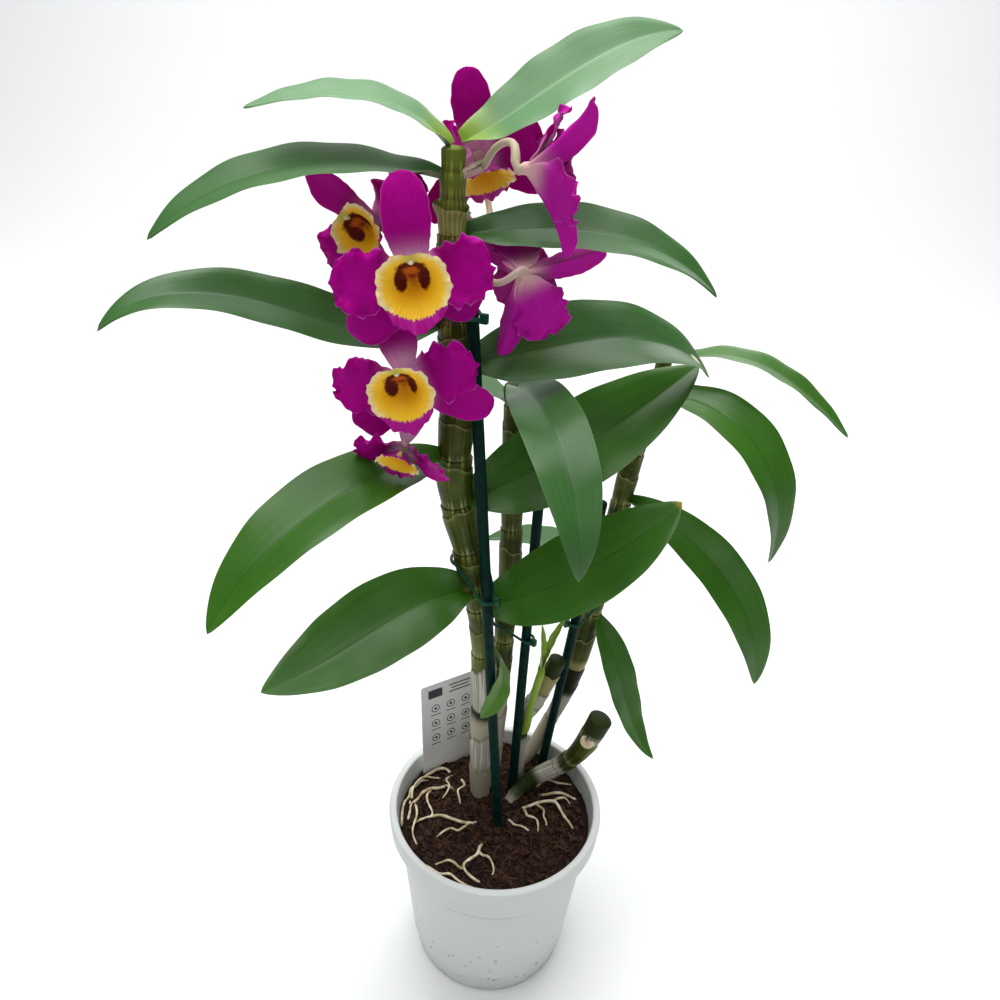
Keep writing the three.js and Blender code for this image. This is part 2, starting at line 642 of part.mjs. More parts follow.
function crownSolid(spare, rootSpare) {
  const { points, radius, sides, steps } = CROWN;
  const crown = stem(curveThrough(points), evenShares(steps), sides, () => radius + spare, UP, spare);
  const roots = ROOTS.map((route) => {
    const radiusAt = (share) => ROOT.radius * (1 - ROOT.taper * share) + rootSpare;
    return solid(stem(curveThrough(route), evenShares(route.length + 1), ROOT.sides, radiusAt, UP));
  });
  return joined([solid(crown), ...roots]);
}

function buildShoot() {
  const stalk = solid(stem(curveThrough(SHOOT.stem), evenShares(3), SHOOT.sides, () => SHOOT.radius));
  const forks = SHOOT.forks.map((points) => {
    const curve = curveThrough([SHOOT.stem.at(-1), ...points]);
    return solid(stem(curve, evenShares(4), SHOOT.sides, (share) => lerp(...SHOOT.forkRadii, share)));
  });
  add('shoot_young', geometryOf(joined([stalk, ...forks])), COLOUR.youngLeaf, 0.5);
}

// ---------------------------------------------------------------- leaves

function buildLeaf(name) {
  const leaf = { ...LEAF, ...LEAVES[name] };
  const curve = caneCurves.get(leaf.cane);
  const foot = curve.getPointAt(shareAtHeight(curve, leaf.height));
  const blade = (reach) => solid(bladeSheet(foot, leaf, reach / leaf.length));
  add(name, geometryOf(seated(blade, caneSolid(leaf.cane))), COLOUR.leaf, 0.4);
}

// ---------------------------------------------------------------- blooms and their stalks

// Turns a bloom's own frame, where it looks along +Z with its top sepal towards +Y, into place.
function bloomMatrix(bloom) {
  const forward = heading(...bloom.face);
  const right = UP.clone().cross(forward).normalize();
  const top = forward.clone().cross(right);
  const basis = new THREE.Matrix4().makeBasis(right, top, forward);
  basis.multiply(new THREE.Matrix4().makeRotationZ(radians(bloom.spin)));
  basis.scale(new THREE.Vector3(bloom.size, bloom.size, bloom.size));
  return basis.setPosition(vector(bloom.centre));
}

function perianth(bloom) {
  const segment = (kind, angle) => {
    const lean = bloom.cup + (bloom.lean[angle] ?? 0);
    const rise = kind.rise.map((slope) => slope + lean);
    const foot = heading(angle, 0).multiplyScalar(BOSS.radius / 2).setZ(kind.layer);
    const length = kind.length * (bloom.reach[angle] ?? 1);
    return solid(bladeSheet(foot, { ...kind, length, rise, turn: [angle, angle], roll: [0, 0] }));
  };
  const boss = new THREE.CylinderGeometry(BOSS.radius, BOSS.radius, BOSS.depth, BOSS.sides);
  boss.rotateX(Math.PI / 2);
  return joined([
    solid(boss),
    ...SEPAL_ANGLES.map((angle) => segment(SEPAL, angle)),
    ...PETAL_ANGLES.map((angle) => segment(PETAL, angle)),
  ]);
}

// The frilled trumpet of the lip, with the column fused to its throat.
function lipSolid(bloom) {
  const profile = [...LIP.outside, ...LIP.inside].map((p) => new THREE.Vector2(...p));
  const trumpet = new THREE.LatheGeometry(profile, LIP.sides);
  trumpet.rotateX(Math.PI / 2);
  const position = trumpet.getAttribute('position');
  const rim = LIP.outside.at(-1)[1];
  const [chinDown, chinForward] = LIP.chin;
  for (let i = 0; i < position.count; i++) {
    const [x, y, z] = [position.getX(i), position.getY(i), position.getZ(i)];
    const angle = Math.atan2(y, x);
    const flare = clamp((z - LIP.flareFrom) / (rim - LIP.flareFrom), 0, 1) ** 2;
    const frill = 1 + LIP.frill * flare * Math.sin(LIP.frills * angle);
    const chin = flare * Math.max(0, -Math.sin(angle)) ** 2;
    position.setXYZ(i, x * frill, y * frill - chinDown * chin, z - flare + chinForward * chin);
  }
  const column = new THREE.CylinderGeometry(COLUMN.radius, COLUMN.footRadius, COLUMN.length, COLUMN.sides);
  column.translate(0, COLUMN.length / 2, 0);
  column.rotateX(Math.PI / 2 + radians(COLUMN.tilt));
  column.translate(...COLUMN.foot);
  const lip = solid(trumpet).add(solid(column));
  const foot = LIP.outside[0][1];
  const lifted = foot + LIP.liftPerDegree * bloom.droop;
  return lip.translate([0, 0, -foot]).rotate([bloom.droop, 0, 0]).translate([0, 0, lifted]);
}

function buildBloom(name) {
  const bloom = { ...BLOOM, ...BLOOMS[name] };
  const matrix = bloomMatrix(bloom);
  add(name + '_petals', geometryOf(perianth(bloom)).applyMatrix4(matrix), COLOUR.perianth, 0.5);
  add(name + '_lip', geometryOf(lipSolid(bloom)).applyMatrix4(matrix), COLOUR.lip, 0.5);
}

function buildStalk(name) {
  const stalk = STALKS[name];
  const curve = caneCurves.get('cane_main');
  const axis = curve.getPointAt(shareAtHeight(curve, stalk.height));
  const foot = (reach) => {
    const root = axis.clone().addScaledVector(heading(stalk.turn, 0), reach);
    const route = curveThrough([root.toArray(), stalk.fork]);
    return solid(stem(route, evenShares(2), PEDICEL.sides,
      (share) => lerp(PEDICEL.rootRadius, PEDICEL.radius, share), UP));
  };
  const pieces = [seated(foot, caneSolid('cane_main'))];
  for (const [bloomName, bends] of Object.entries(stalk.to)) {
    const bloom = { ...BLOOM, ...BLOOMS[bloomName] };
    const back = vector(bloom.centre);
    const forward = heading(...bloom.face);
    const end = back.clone().addScaledVector(forward, -((BOSS.depth / 2) * bloom.size + GAP));
    const before = end.clone().addScaledVector(forward, -PEDICEL.straight);
    const route = [stalk.fork, ...bends, before.toArray(), end.toArray()];
    pieces.push(solid(stem(curveThrough(route), evenShares(7), PEDICEL.sides, () => PEDICEL.radius, UP)));
  }
  add(name, geometryOf(joined(pieces)), COLOUR.stalk, 0.5);
}

// ---------------------------------------------------------------- the whole plant

function buildSoil() {
  const holes = [
    ...Object.keys(CANES).map(caneHole),
    ...Object.keys(STAKES).map((name) => stakeSolid(name, GAP)),
    cardSolid(GAP),
    crownSolid(4 * GAP, 2 * GAP),
  ];
  const cut = holes.reduce((soil, hole) => soil.subtract(hole), plainSoil());
  const largest = cut.decompose().sort((a, b) => b.volume() - a.volume())[0];
  add('substrate', geometryOf(largest), COLOUR.soil, 0.95);
}

buildPot();
buildSoil();
add('care_card', geometryOf(cardSolid(0)), COLOUR.card, 0.4);
add('crown_and_roots', geometryOf(crownSolid(0, 0)), COLOUR.root, 0.8);
Object.keys(CANES).forEach((name) => add(name, geometryOf(caneSolid(name)), CANES[name].colour, 0.6));
Object.keys(STAKES).forEach((name) => add(name, geometryOf(stakeSolid(name, 0)), COLOUR.stake, 0.35));
Object.keys(CLIPS).forEach(buildClip);
Object.keys(LEAVES).forEach(buildLeaf);
buildShoot();
Object.keys(STALKS).forEach(buildStalk);
Object.keys(BLOOMS).forEach(buildBloom);

export default part;
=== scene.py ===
"""A flowering dendrobium orchid in its nursery pot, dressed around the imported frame.

Every length in the classes below is in millimetres and every angle in degrees. A finished mesh is
scaled to metres once, when its piece is settled in the frame.
"""

from __future__ import annotations

import logging
import math
import random
from dataclasses import dataclass, field, replace
from enum import Enum
from typing import Callable, Iterable, Sequence

import bmesh
import bpy
from mathutils import Euler, Matrix, Vector, noise

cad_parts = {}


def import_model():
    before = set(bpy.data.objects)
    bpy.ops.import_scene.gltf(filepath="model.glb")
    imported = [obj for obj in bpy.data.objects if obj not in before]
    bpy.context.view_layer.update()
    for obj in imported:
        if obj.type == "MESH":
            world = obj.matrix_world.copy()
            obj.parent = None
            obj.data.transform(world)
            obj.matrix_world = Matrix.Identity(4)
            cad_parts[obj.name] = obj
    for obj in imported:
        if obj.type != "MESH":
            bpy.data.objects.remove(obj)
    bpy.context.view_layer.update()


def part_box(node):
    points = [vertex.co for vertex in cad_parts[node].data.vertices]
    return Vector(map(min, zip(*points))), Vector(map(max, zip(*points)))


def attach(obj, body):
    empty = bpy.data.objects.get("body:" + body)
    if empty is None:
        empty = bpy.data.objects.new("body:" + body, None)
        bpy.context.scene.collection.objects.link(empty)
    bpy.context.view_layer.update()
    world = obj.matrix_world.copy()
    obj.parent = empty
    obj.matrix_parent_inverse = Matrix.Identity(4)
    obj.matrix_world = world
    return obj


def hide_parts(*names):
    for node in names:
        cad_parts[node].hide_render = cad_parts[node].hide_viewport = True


LOG = logging.getLogger("orchid")
MM = 0.001
UP = Vector((0, 0, 1))
SEED = 7

Pair = tuple[float, float]
Triple = tuple[float, float, float]
Socket = bpy.types.NodeSocket
Place = Callable[[float, float], Vector]
Mark = Callable[[float, float], float]


# ---------- small helpers


def linear(colour: str) -> tuple[float, float, float, float]:
    """Turns an sRGB hex colour to linear RGBA.

    Args:
        colour: six hex digits after a hash.
    Returns:
        The four channels from 0 to 1.
    """
    channels = [int(colour[i : i + 2], 16) / 255 for i in (1, 3, 5)]
    straight = [c / 12.92 if c <= 0.04045 else ((c + 0.055) / 1.055) ** 2.4 for c in channels]
    return (*straight, 1.0)


def lerp(low: float, high: float, share: float) -> float:
    """The value at a share of the way from low to high."""
    return low + (high - low) * share


def clamp(value: float, low: float = 0.0, high: float = 1.0) -> float:
    """The value held between low and high."""
    return max(low, min(high, value))


def smooth(low: float, high: float, value: float) -> float:
    """A soft step from 0 at low to 1 at high."""
    share = clamp((value - low) / (high - low))
    return share * share * (3 - 2 * share)


def heading(turn: float, rise: float = 0.0) -> Vector:
    """The unit vector of a compass angle and a slope, both in degrees."""
    a, e = math.radians(turn), math.radians(rise)
    return Vector((math.cos(e) * math.cos(a), math.cos(e) * math.sin(a), math.sin(e)))


def between(pairs: Sequence[Pair], x: float) -> float:
    """The value at x of a line through (x, value) pairs.

    Args:
        pairs: the points, by rising x.
        x: where it is read.
    Returns:
        The value, held level past both ends.
    """
    if x <= pairs[0][0]:
        return pairs[0][1]
    for (x0, y0), (x1, y1) in zip(pairs, pairs[1:]):
        if x <= x1:
            return lerp(y0, y1, (x - x0) / (x1 - x0))
    return pairs[-1][1]


class Route:
    """A smooth curve through points, read by share of its length."""

    STEPS = 20
    HALVINGS = 24
    NEAR = 0.004  # share of the length over which a direction is taken

    def __init__(self, points: Sequence[Sequence[float]]) -> None:
        """Samples the curve.

        Args:
            points: the points that it passes through, in order.
        """
        knots = [Vector(point) for point in points]
        self.points = [knots[0]]
        for i in range(len(knots) - 1):
            before = knots[i - 1] if i else 2 * knots[0] - knots[1]
            after = knots[i + 2] if i + 2 < len(knots) else 2 * knots[-1] - knots[-2]
            span = (before, knots[i], knots[i + 1], after)
            self.points += [self.bend(span, (k + 1) / self.STEPS) for k in range(self.STEPS)]
        self.reach = [0.0]
        for a, b in zip(self.points, self.points[1:]):
            self.reach.append(self.reach[-1] + (b - a).length)

    @staticmethod
    def bend(span: tuple[Vector, Vector, Vector, Vector], share: float) -> Vector:
        """A point of the centripetal curve between the middle two points of a span.

        Args:
            span: four points in a row.
            share: how far it is from the second to the third.
        Returns:
            The point.
        """
        before, start, end, after = span
        gaps = [max((b - a).length ** 0.5, 1e-4) for a, b in zip(span, span[1:])]
        g0, g1, g2 = gaps
        slope0 = ((start - before) / g0 - (end - before) / (g0 + g1) + (end - start) / g1) * g1
        slope1 = ((end - start) / g1 - (after - start) / (g1 + g2) + (after - end) / g2) * g1
        square, cube = share * share, share**3
        return (
            start * (2 * cube - 3 * square + 1)
            + slope0 * (cube - 2 * square + share)
            + end * (3 * square - 2 * cube)
            + slope1 * (cube - square)
        )

    @property
    def length(self) -> float:
        """Length of the whole curve."""
        return self.reach[-1]

    def at(self, share: float) -> Vector:
        """The point at a share of the length.

        Args:
            share: from 0 at the start to 1 at the end.
        Returns:
            The point.
        """
        goal = clamp(share) * self.length
        low, high = 0, len(self.reach) - 1
        while high - low > 1:
            middle = (low + high) // 2
            low, high = (middle, high) if self.reach[middle] <= goal else (low, middle)
        gap = self.reach[high] - self.reach[low]
        return self.points[low].lerp(self.points[high], (goal - self.reach[low]) / gap)

    def tangent(self, share: float) -> Vector:
        """The direction of travel at a share of the length."""
        return (self.at(share + self.NEAR) - self.at(share - self.NEAR)).normalized()

    def share_at(self, height: float) -> float:
        """The share at which a rising curve passes a height.

        Args:
            height: the height.
        Returns:
            The share of the length.
        """
        low, high = 0.0, 1.0
        for _ in range(self.HALVINGS):
            middle = (low + high) / 2
            low, high = (middle, high) if self.at(middle).z < height else (low, middle)
        return (low + high) / 2

    def frames(self, shares: Sequence[float]) -> list[tuple[Vector, Vector, Vector]]:
        """Points with two directions square to the curve that turn as little as they can.

        Args:
            shares: where they lie.
        Returns:
            For each share the point, the side direction and the one a quarter turn on.
        """
        tangent = self.tangent(shares[0])
        side = tangent.cross(min((UP, Vector((0, 1, 0))), key=lambda axis: abs(axis.dot(tangent))))
        frames = []
        for share in shares:
            tangent = self.tangent(share)
            side = (side - tangent * side.dot(tangent)).normalized()
            frames.append((self.at(share), side, side.cross(tangent)))
        return frames


class Shape:
    """A mesh in the making, in millimetres, with one UV map and named vertex values."""

    def __init__(self, *marks: str) -> None:
        """Starts an empty mesh.

        Args:
            marks: names of the vertex values that its finish reads.
        """
        self.bm = bmesh.new()
        self.uv = self.bm.loops.layers.uv.new("UVMap")
        self.marks = {name: self.bm.verts.layers.float.new(name) for name in marks}

    def skin(
        self,
        along: int,
        across: int,
        place: Place,
        material: int = 0,
        chart: Callable[[float, float], Pair] = lambda u, v: (u, v),
        **marks: Mark,
    ) -> list[bmesh.types.BMVert]:
        """Adds a grid of faces, bent into place.

        Args:
            along: cells along u.
            across: cells along v.
            place: gives the point at u and v, each from 0 to 1.
            material: index of its finish.
            chart: gives the UV map's point at u and v.
            marks: gives each vertex value at u and v.
        Returns:
            The new vertices.
        """
        made = bmesh.ops.create_grid(self.bm, x_segments=along, y_segments=across, size=0.5)["verts"]
        for vert in made:
            u, v = clamp(vert.co.x + 0.5), clamp(vert.co.y + 0.5)
            for loop in vert.link_loops:
                loop[self.uv].uv = chart(u, v)
                loop.face.material_index = material
            for name, value in marks.items():
                vert[self.marks[name]] = value(u, v)
            vert.co = place(u, v)
        return made

    def weld(self, verts: Iterable[bmesh.types.BMVert], reach: float = 0.005) -> None:
        """Merges vertices that lie on each other."""
        bmesh.ops.remove_doubles(self.bm, verts=list(verts), dist=reach)

    def tube(
        self,
        route: Route,
        rows: Sequence[Pair],
        sides: int,
        relief: Callable[[float, float], float] = lambda share, angle: 0.0,
        material: int = 0,
        **marks: Mark,
    ) -> None:
        """Adds a round stem along a route, closed where its radius is zero.

        Args:
            route: its middle line.
            rows: share of the route and radius of each ring.
            sides: faces around it.
            relief: height of the surface pattern at a share and an angle.
            material: index of its finish.
            marks: vertex values at the row's share and the share of the turn.
        """
        frames = route.frames([share for share, _ in rows])
        last = len(rows) - 1

        def place(u: float, v: float) -> Vector:
            """The point of row u at v of the turn.

            Args:
                u: share of the rows.
                v: share of the turn.
            Returns:
                The point.
            """
            share, radius = rows[round(u * last)]
            point, side, ahead = frames[round(u * last)]
            angle = 2 * math.pi * v
            bulge = radius + (relief(share, angle) if radius > 0 else 0)
            return point + (side * math.cos(angle) + ahead * math.sin(angle)) * bulge

        def chart(u: float, v: float) -> Pair:
            """Decimetres along the stem, and share of the turn."""
            return rows[round(u * last)][0] * route.length / 100, v

        def by_row(value: Mark) -> Mark:
            """A vertex value that is read at its row's share."""
            return lambda u, v: value(rows[round(u * last)][0], v)

        named = {name: by_row(value) for name, value in marks.items()}
        self.weld(self.skin(last, sides, place, material, chart, **named))

    def settle(
        self, name: str, slot: str, finishes: Sequence[Finish], nodes: Sequence[str] = (),
        sharp: float = 50,
    ) -> bpy.types.Object:
        """Turns the mesh to an object in metres and ties it to the frame.

        Args:
            name: the piece's name.
            slot: the record's material slot; not used.
            finishes: its materials, in the order of the faces' indices.
            nodes: the solids that it stands for.
            sharp: edges that bend more than this many degrees stay crisp.
        Returns:
            The object.
        """
        bmesh.ops.recalc_face_normals(self.bm, faces=self.bm.faces)
        bmesh.ops.scale(self.bm, vec=(MM, MM, MM), verts=self.bm.verts)
        mesh = bpy.data.meshes.new(name)
        self.bm.to_mesh(mesh)
        self.bm.free()
        for finish in finishes:
            mesh.materials.append(finish.material())
        mesh.shade_smooth()
        mesh.set_sharp_from_angle(angle=math.radians(sharp))
        piece = bpy.data.objects.new(name, mesh)
        bpy.context.scene.collection.objects.link(piece)
        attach(piece, "root")
        if nodes:
            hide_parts(*nodes)
        LOG.info("%s: %d faces", name, len(mesh.polygons))
        return piece


# ---------- finishes


class Tree:
    """A material's node tree with its Principled shader."""

    def __init__(self, name: str, colour: str, roughness: float, **shader: float) -> None:
        """Starts a material.

        Args:
            name: the material's name.
            colour: plain colour, as sRGB hex.
            roughness: plain roughness.
            shader: other sockets of the shader, with underscores for spaces.
        """
        self.material = bpy.data.materials.new(name)
        self.material.use_nodes = True
        self.tree = self.material.node_tree
        self.shader = self.tree.nodes["Principled BSDF"]
        self.shader.inputs["Base Color"].default_value = linear(colour)
        self.shader.inputs["Roughness"].default_value = roughness
        for socket, value in shader.items():
            self.shader.inputs[socket.replace("_", " ")].default_value = value

    def add(
        self, kind: str, inputs: dict[str | int, object] | None = None,
        stops: Sequence[tuple[float, str]] = (), **settings: object,
    ) -> bpy.types.Node:
        """Adds a node with its settings and links.

        Args:
            kind: the node's type, after ShaderNode.
            inputs: value or output for each input, by name or place.
            stops: place and hex colour of each stop of a colour ramp.
            settings: the node's own settings.
        Returns:
            The node.
        """
        made = self.tree.nodes.new("ShaderNode" + kind)
        for key, value in settings.items():
            setattr(made, key, value)
        for key, value in (inputs or {}).items():
            if isinstance(value, Socket):
                self.tree.links.new(value, made.inputs[key])
            else:
                made.inputs[key].default_value = linear(value) if isinstance(value, str) else value
        for i, (place, colour) in enumerate(stops):
            ramp = made.color_ramp.elements
            stop = ramp[i] if i < len(ramp) else ramp.new(place)
            stop.position = place
            stop.color = linear(colour)
        return made

    def link(self, output: Socket, socket: str) -> None:
        """Leads an output to a socket of the shader."""
        self.tree.links.new(output, self.shader.inputs[socket])

    def complete(
        self, ground: str | Socket, layers: Iterable[tuple[Socket, str]],
        height: Socket, strength: float, grain: float,
    ) -> bpy.types.Material:
        """Lays colours over each other, gives the surface its relief and hands over the material.

        Args:
            ground: the colour at the bottom.
            layers: how much each further colour covers, and that colour, in order.
            height: the pattern of the relief.
            strength: how strongly the relief shows.
            grain: its depth, in millimetres.
        Returns:
            The finished material.
        """
        painted = ground
        for share, colour in layers:
            mix = self.add("Mix", {"Factor": share, "A": painted, "B": colour}, data_type="RGBA")
            painted = mix.outputs["Result"]
        self.link(painted, "Base Color")
        bump = self.add("Bump", {"Height": height, "Strength": strength, "Distance": grain * MM})
        self.link(bump.outputs["Normal"], "Normal")
        return self.material


@dataclass(frozen=True)
class Finish:
    """What every finish has: its name, main colour and roughness."""

    name: str
    colour: str
    roughness: float = 0.5

    def material(self) -> bpy.types.Material:
        """The finish's material, made once."""
        return bpy.data.materials.get(self.name) or self.paint()

    def paint(self) -> bpy.types.Material:
        """Makes the material."""
        return Tree(self.name, self.colour, self.roughness).material


@dataclass(frozen=True)
class Polypropylene(Finish):
    """Moulded polypropylene: an even satin white, with specks of dirt that thin out upwards."""

    dirt: str = "#4f463a"
    speck: float = 3.0  # millimetres between specks
    speck_rim: Pair = (0.325, 0.35)  # where in the noise a speck ends, softly
    dirty: Pair = (0.06, 0.01)  # metres above the table from clean to dirty

    def paint(self) -> bpy.types.Material:
        """Makes the material.

        Returns:
            The new material.
        """
        tree = Tree(self.name, self.colour, self.roughness, Subsurface_Weight=0.05, Subsurface_Scale=0.002)
        place = tree.add("TexCoord").outputs["Object"]
        specks = tree.add("TexNoise", {"Vector": place, "Scale": 1 / (self.speck * MM), "Detail": 6})
        stops = list(zip(self.speck_rim, ("#ffffff", "#000000")))
        spots = tree.add("ValToRGB", {"Fac": specks.outputs["Fac"]}, stops).outputs["Color"]
        height = tree.add("SeparateXYZ", {"Vector": place}).outputs["Z"]
        clean, dirty = self.dirty
        low = tree.add("MapRange", {"Value": height, "From Min": clean, "From Max": dirty}).outputs[0]
        amount = tree.add("Math", {0: spots, 1: low}, operation="MULTIPLY").outputs[0]
        spotted = tree.add("Mix", {"Factor": amount, "A": self.colour, "B": self.dirt}, data_type="RGBA")
        tree.link(spotted.outputs["Result"], "Base Color")
        return tree.material


@dataclass(frozen=True)
class LeafSkin(Finish):
    """Waxy leaf: parallel veins, a shaded midrib, a pale edge, and a soft clouding of the green."""

    vein: str = "#4c7a2c"
    edge: str = "#7fa04a"
    crease: str = "#2c5413"  # the shaded groove over the midrib
    line_share: float = 0.45  # how strongly the crease and the edge show
    crease_half: Pair = (0.017, 0.004)  # share of the width, from no crease to a full one
    edge_from: Pair = (0.49, 0.5)
    veins: int = 26  # across the blade
    clouds: float = 45  # to the metre
    gloss: float = 0.1
    base: str = ""  # colour of a bleached foot
    base_reach: Pair = (0.2, 0.04)
    tip: str = ""  # colour of a dying tip
    tip_reach: Pair = (0.965, 1.0)
    scar: Pair | None = None  # place of a dry scar on the UV map
    scar_tissue: str = "#e6dcb8"

    def torn(self, tree: Tree, chart: Socket) -> Socket:
        """Adds the ragged patch of the scar.

        Args:
            tree: the material in the making.
            chart: the blade's UV map.
        Returns:
            1 in the scar and 0 off it.
        """
        stretch = (10, 5, 0)
        away = tuple(-scale * at for scale, at in zip(stretch, (*self.scar, 0)))
        local = tree.add("Mapping", {"Vector": chart, "Scale": stretch, "Location": away}).outputs[0]
        rough = tree.add("TexNoise", {"Vector": local, "Scale": 9, "Detail": 4}).outputs["Fac"]
        reach = tree.add("VectorMath", {0: local}, operation="LENGTH").outputs["Value"]
        ragged = tree.add("Math", {0: rough, 1: 0.6, 2: reach}, operation="MULTIPLY_ADD").outputs[0]
        return tree.add("MapRange", {"Value": ragged, "From Min": 0.62, "From Max": 0.56}).outputs[0]

    def paint(self) -> bpy.types.Material:
        """Makes the material.

        Returns:
            The new material.
        """
        tree = Tree(
            self.name, self.colour, self.roughness, Coat_Weight=self.gloss, Coat_Roughness=0.3,
            Specular_IOR_Level=0.35,
        )
        chart = tree.add("TexCoord").outputs
        stretch = tree.add("Mapping", {"Vector": chart["UV"], "Scale": (2.2, 1.6 * self.veins, 1)}).outputs[0]
        fine = tree.add("TexNoise", {"Vector": stretch, "Scale": 1, "Detail": 3}).outputs["Fac"]
        cloudy = {"Vector": chart["Object"], "Scale": self.clouds, "Detail": 3}
        cloud = tree.add("TexNoise", cloudy).outputs["Fac"]
        split = tree.add("SeparateXYZ", {"Vector": chart["UV"]}).outputs
        centred = tree.add("Math", {0: split["Y"], 1: 0.5}, operation="SUBTRACT").outputs[0]
        off = tree.add("Math", {0: centred}, operation="ABSOLUTE").outputs[0]
        light = tree.add("Math", {0: fine, 1: cloud}, operation="MULTIPLY").outputs[0]
        veined = tree.add("MapRange", {"Value": light, "From Min": -0.05, "From Max": 0.62}).outputs[0]
        layers = [(veined, self.vein)]
        for (low, high), colour in ((self.crease_half, self.crease), (self.edge_from, self.edge)):
            line = tree.add("MapRange", {"Value": off, "From Min": low, "From Max": high}).outputs[0]
            faint = tree.add("Math", {0: line, 1: self.line_share}, operation="MULTIPLY").outputs[0]
            layers.append((faint, colour))
        for (low, high), colour in ((self.base_reach, self.base), (self.tip_reach, self.tip)):
            if colour:
                end = tree.add("MapRange", {"Value": split["X"], "From Min": low, "From Max": high})
                layers.append((end.outputs[0], colour))
        if self.scar:
            layers.append((self.torn(tree, chart["UV"]), self.scar_tissue))
        return tree.complete(self.colour, layers, fine, 0.12, 0.6)


@dataclass(frozen=True)
class PetalSkin(Finish):
    """Velvety petal: fine veins that fan out, a whitish foot and a thin pale edge."""

    foot: str = "#efc4e2"
    vein: str = "#83006e"
    edge: str = "#c551b4"
    edge_from: Pair = (0.48, 0.5)  # share of the width off the middle
    foot_reach: float = 0.5  # share of the length at which the pale foot has faded
    foot_full: float = 0.2  # and up to which it is at its palest
    foot_fade: float = 2.2  # above 1 the foot stays close to the middle of the flower
    veins: float = 34  # across the segment

    def paint(self) -> bpy.types.Material:
        """Makes the material.

        Returns:
            The new material.
        """
        tree = Tree(
            self.name, self.colour, self.roughness, Specular_IOR_Level=0.06, Subsurface_Weight=0.1,
            Subsurface_Scale=0.002,
        )
        chart = tree.add("TexCoord").outputs["UV"]
        stretch = tree.add("Mapping", {"Vector": chart, "Scale": (1.8, self.veins, 1)}).outputs[0]
        fine = tree.add("TexNoise", {"Vector": stretch, "Scale": 1, "Detail": 4}).outputs["Fac"]
        split = tree.add("SeparateXYZ", {"Vector": chart}).outputs
        centred = tree.add("Math", {0: split["Y"], 1: 0.5}, operation="SUBTRACT").outputs[0]
        off = tree.add("Math", {0: centred}, operation="ABSOLUTE").outputs[0]
        low, high = self.edge_from
        edge = tree.add("MapRange", {"Value": off, "From Min": low, "From Max": high}).outputs[0]
        pale = tree.add(
            "MapRange", {"Value": split["X"], "From Min": self.foot_reach, "From Max": self.foot_full},
            interpolation_type="SMOOTHSTEP",
        ).outputs[0]
        fading = tree.add("Math", {0: pale, 1: self.foot_fade}, operation="POWER").outputs[0]
        ragged = tree.add("Math", {0: fine, 1: 1.3, 2: 0.35}, operation="MULTIPLY_ADD").outputs[0]
        foot = tree.add("Math", {0: fading, 1: ragged}, operation="MULTIPLY", use_clamp=True).outputs[0]
        streak = tree.add("MapRange", {"Value": fine, "From Min": 0.4, "From Max": 0.72}).outputs[0]
        faint = tree.add("Math", {0: streak, 1: 0.5}, operation="MULTIPLY").outputs[0]
        layers = ((faint, self.vein), (foot, self.foot), (edge, self.edge))
        return tree.complete(self.colour, layers, fine, 0.2, 0.5)


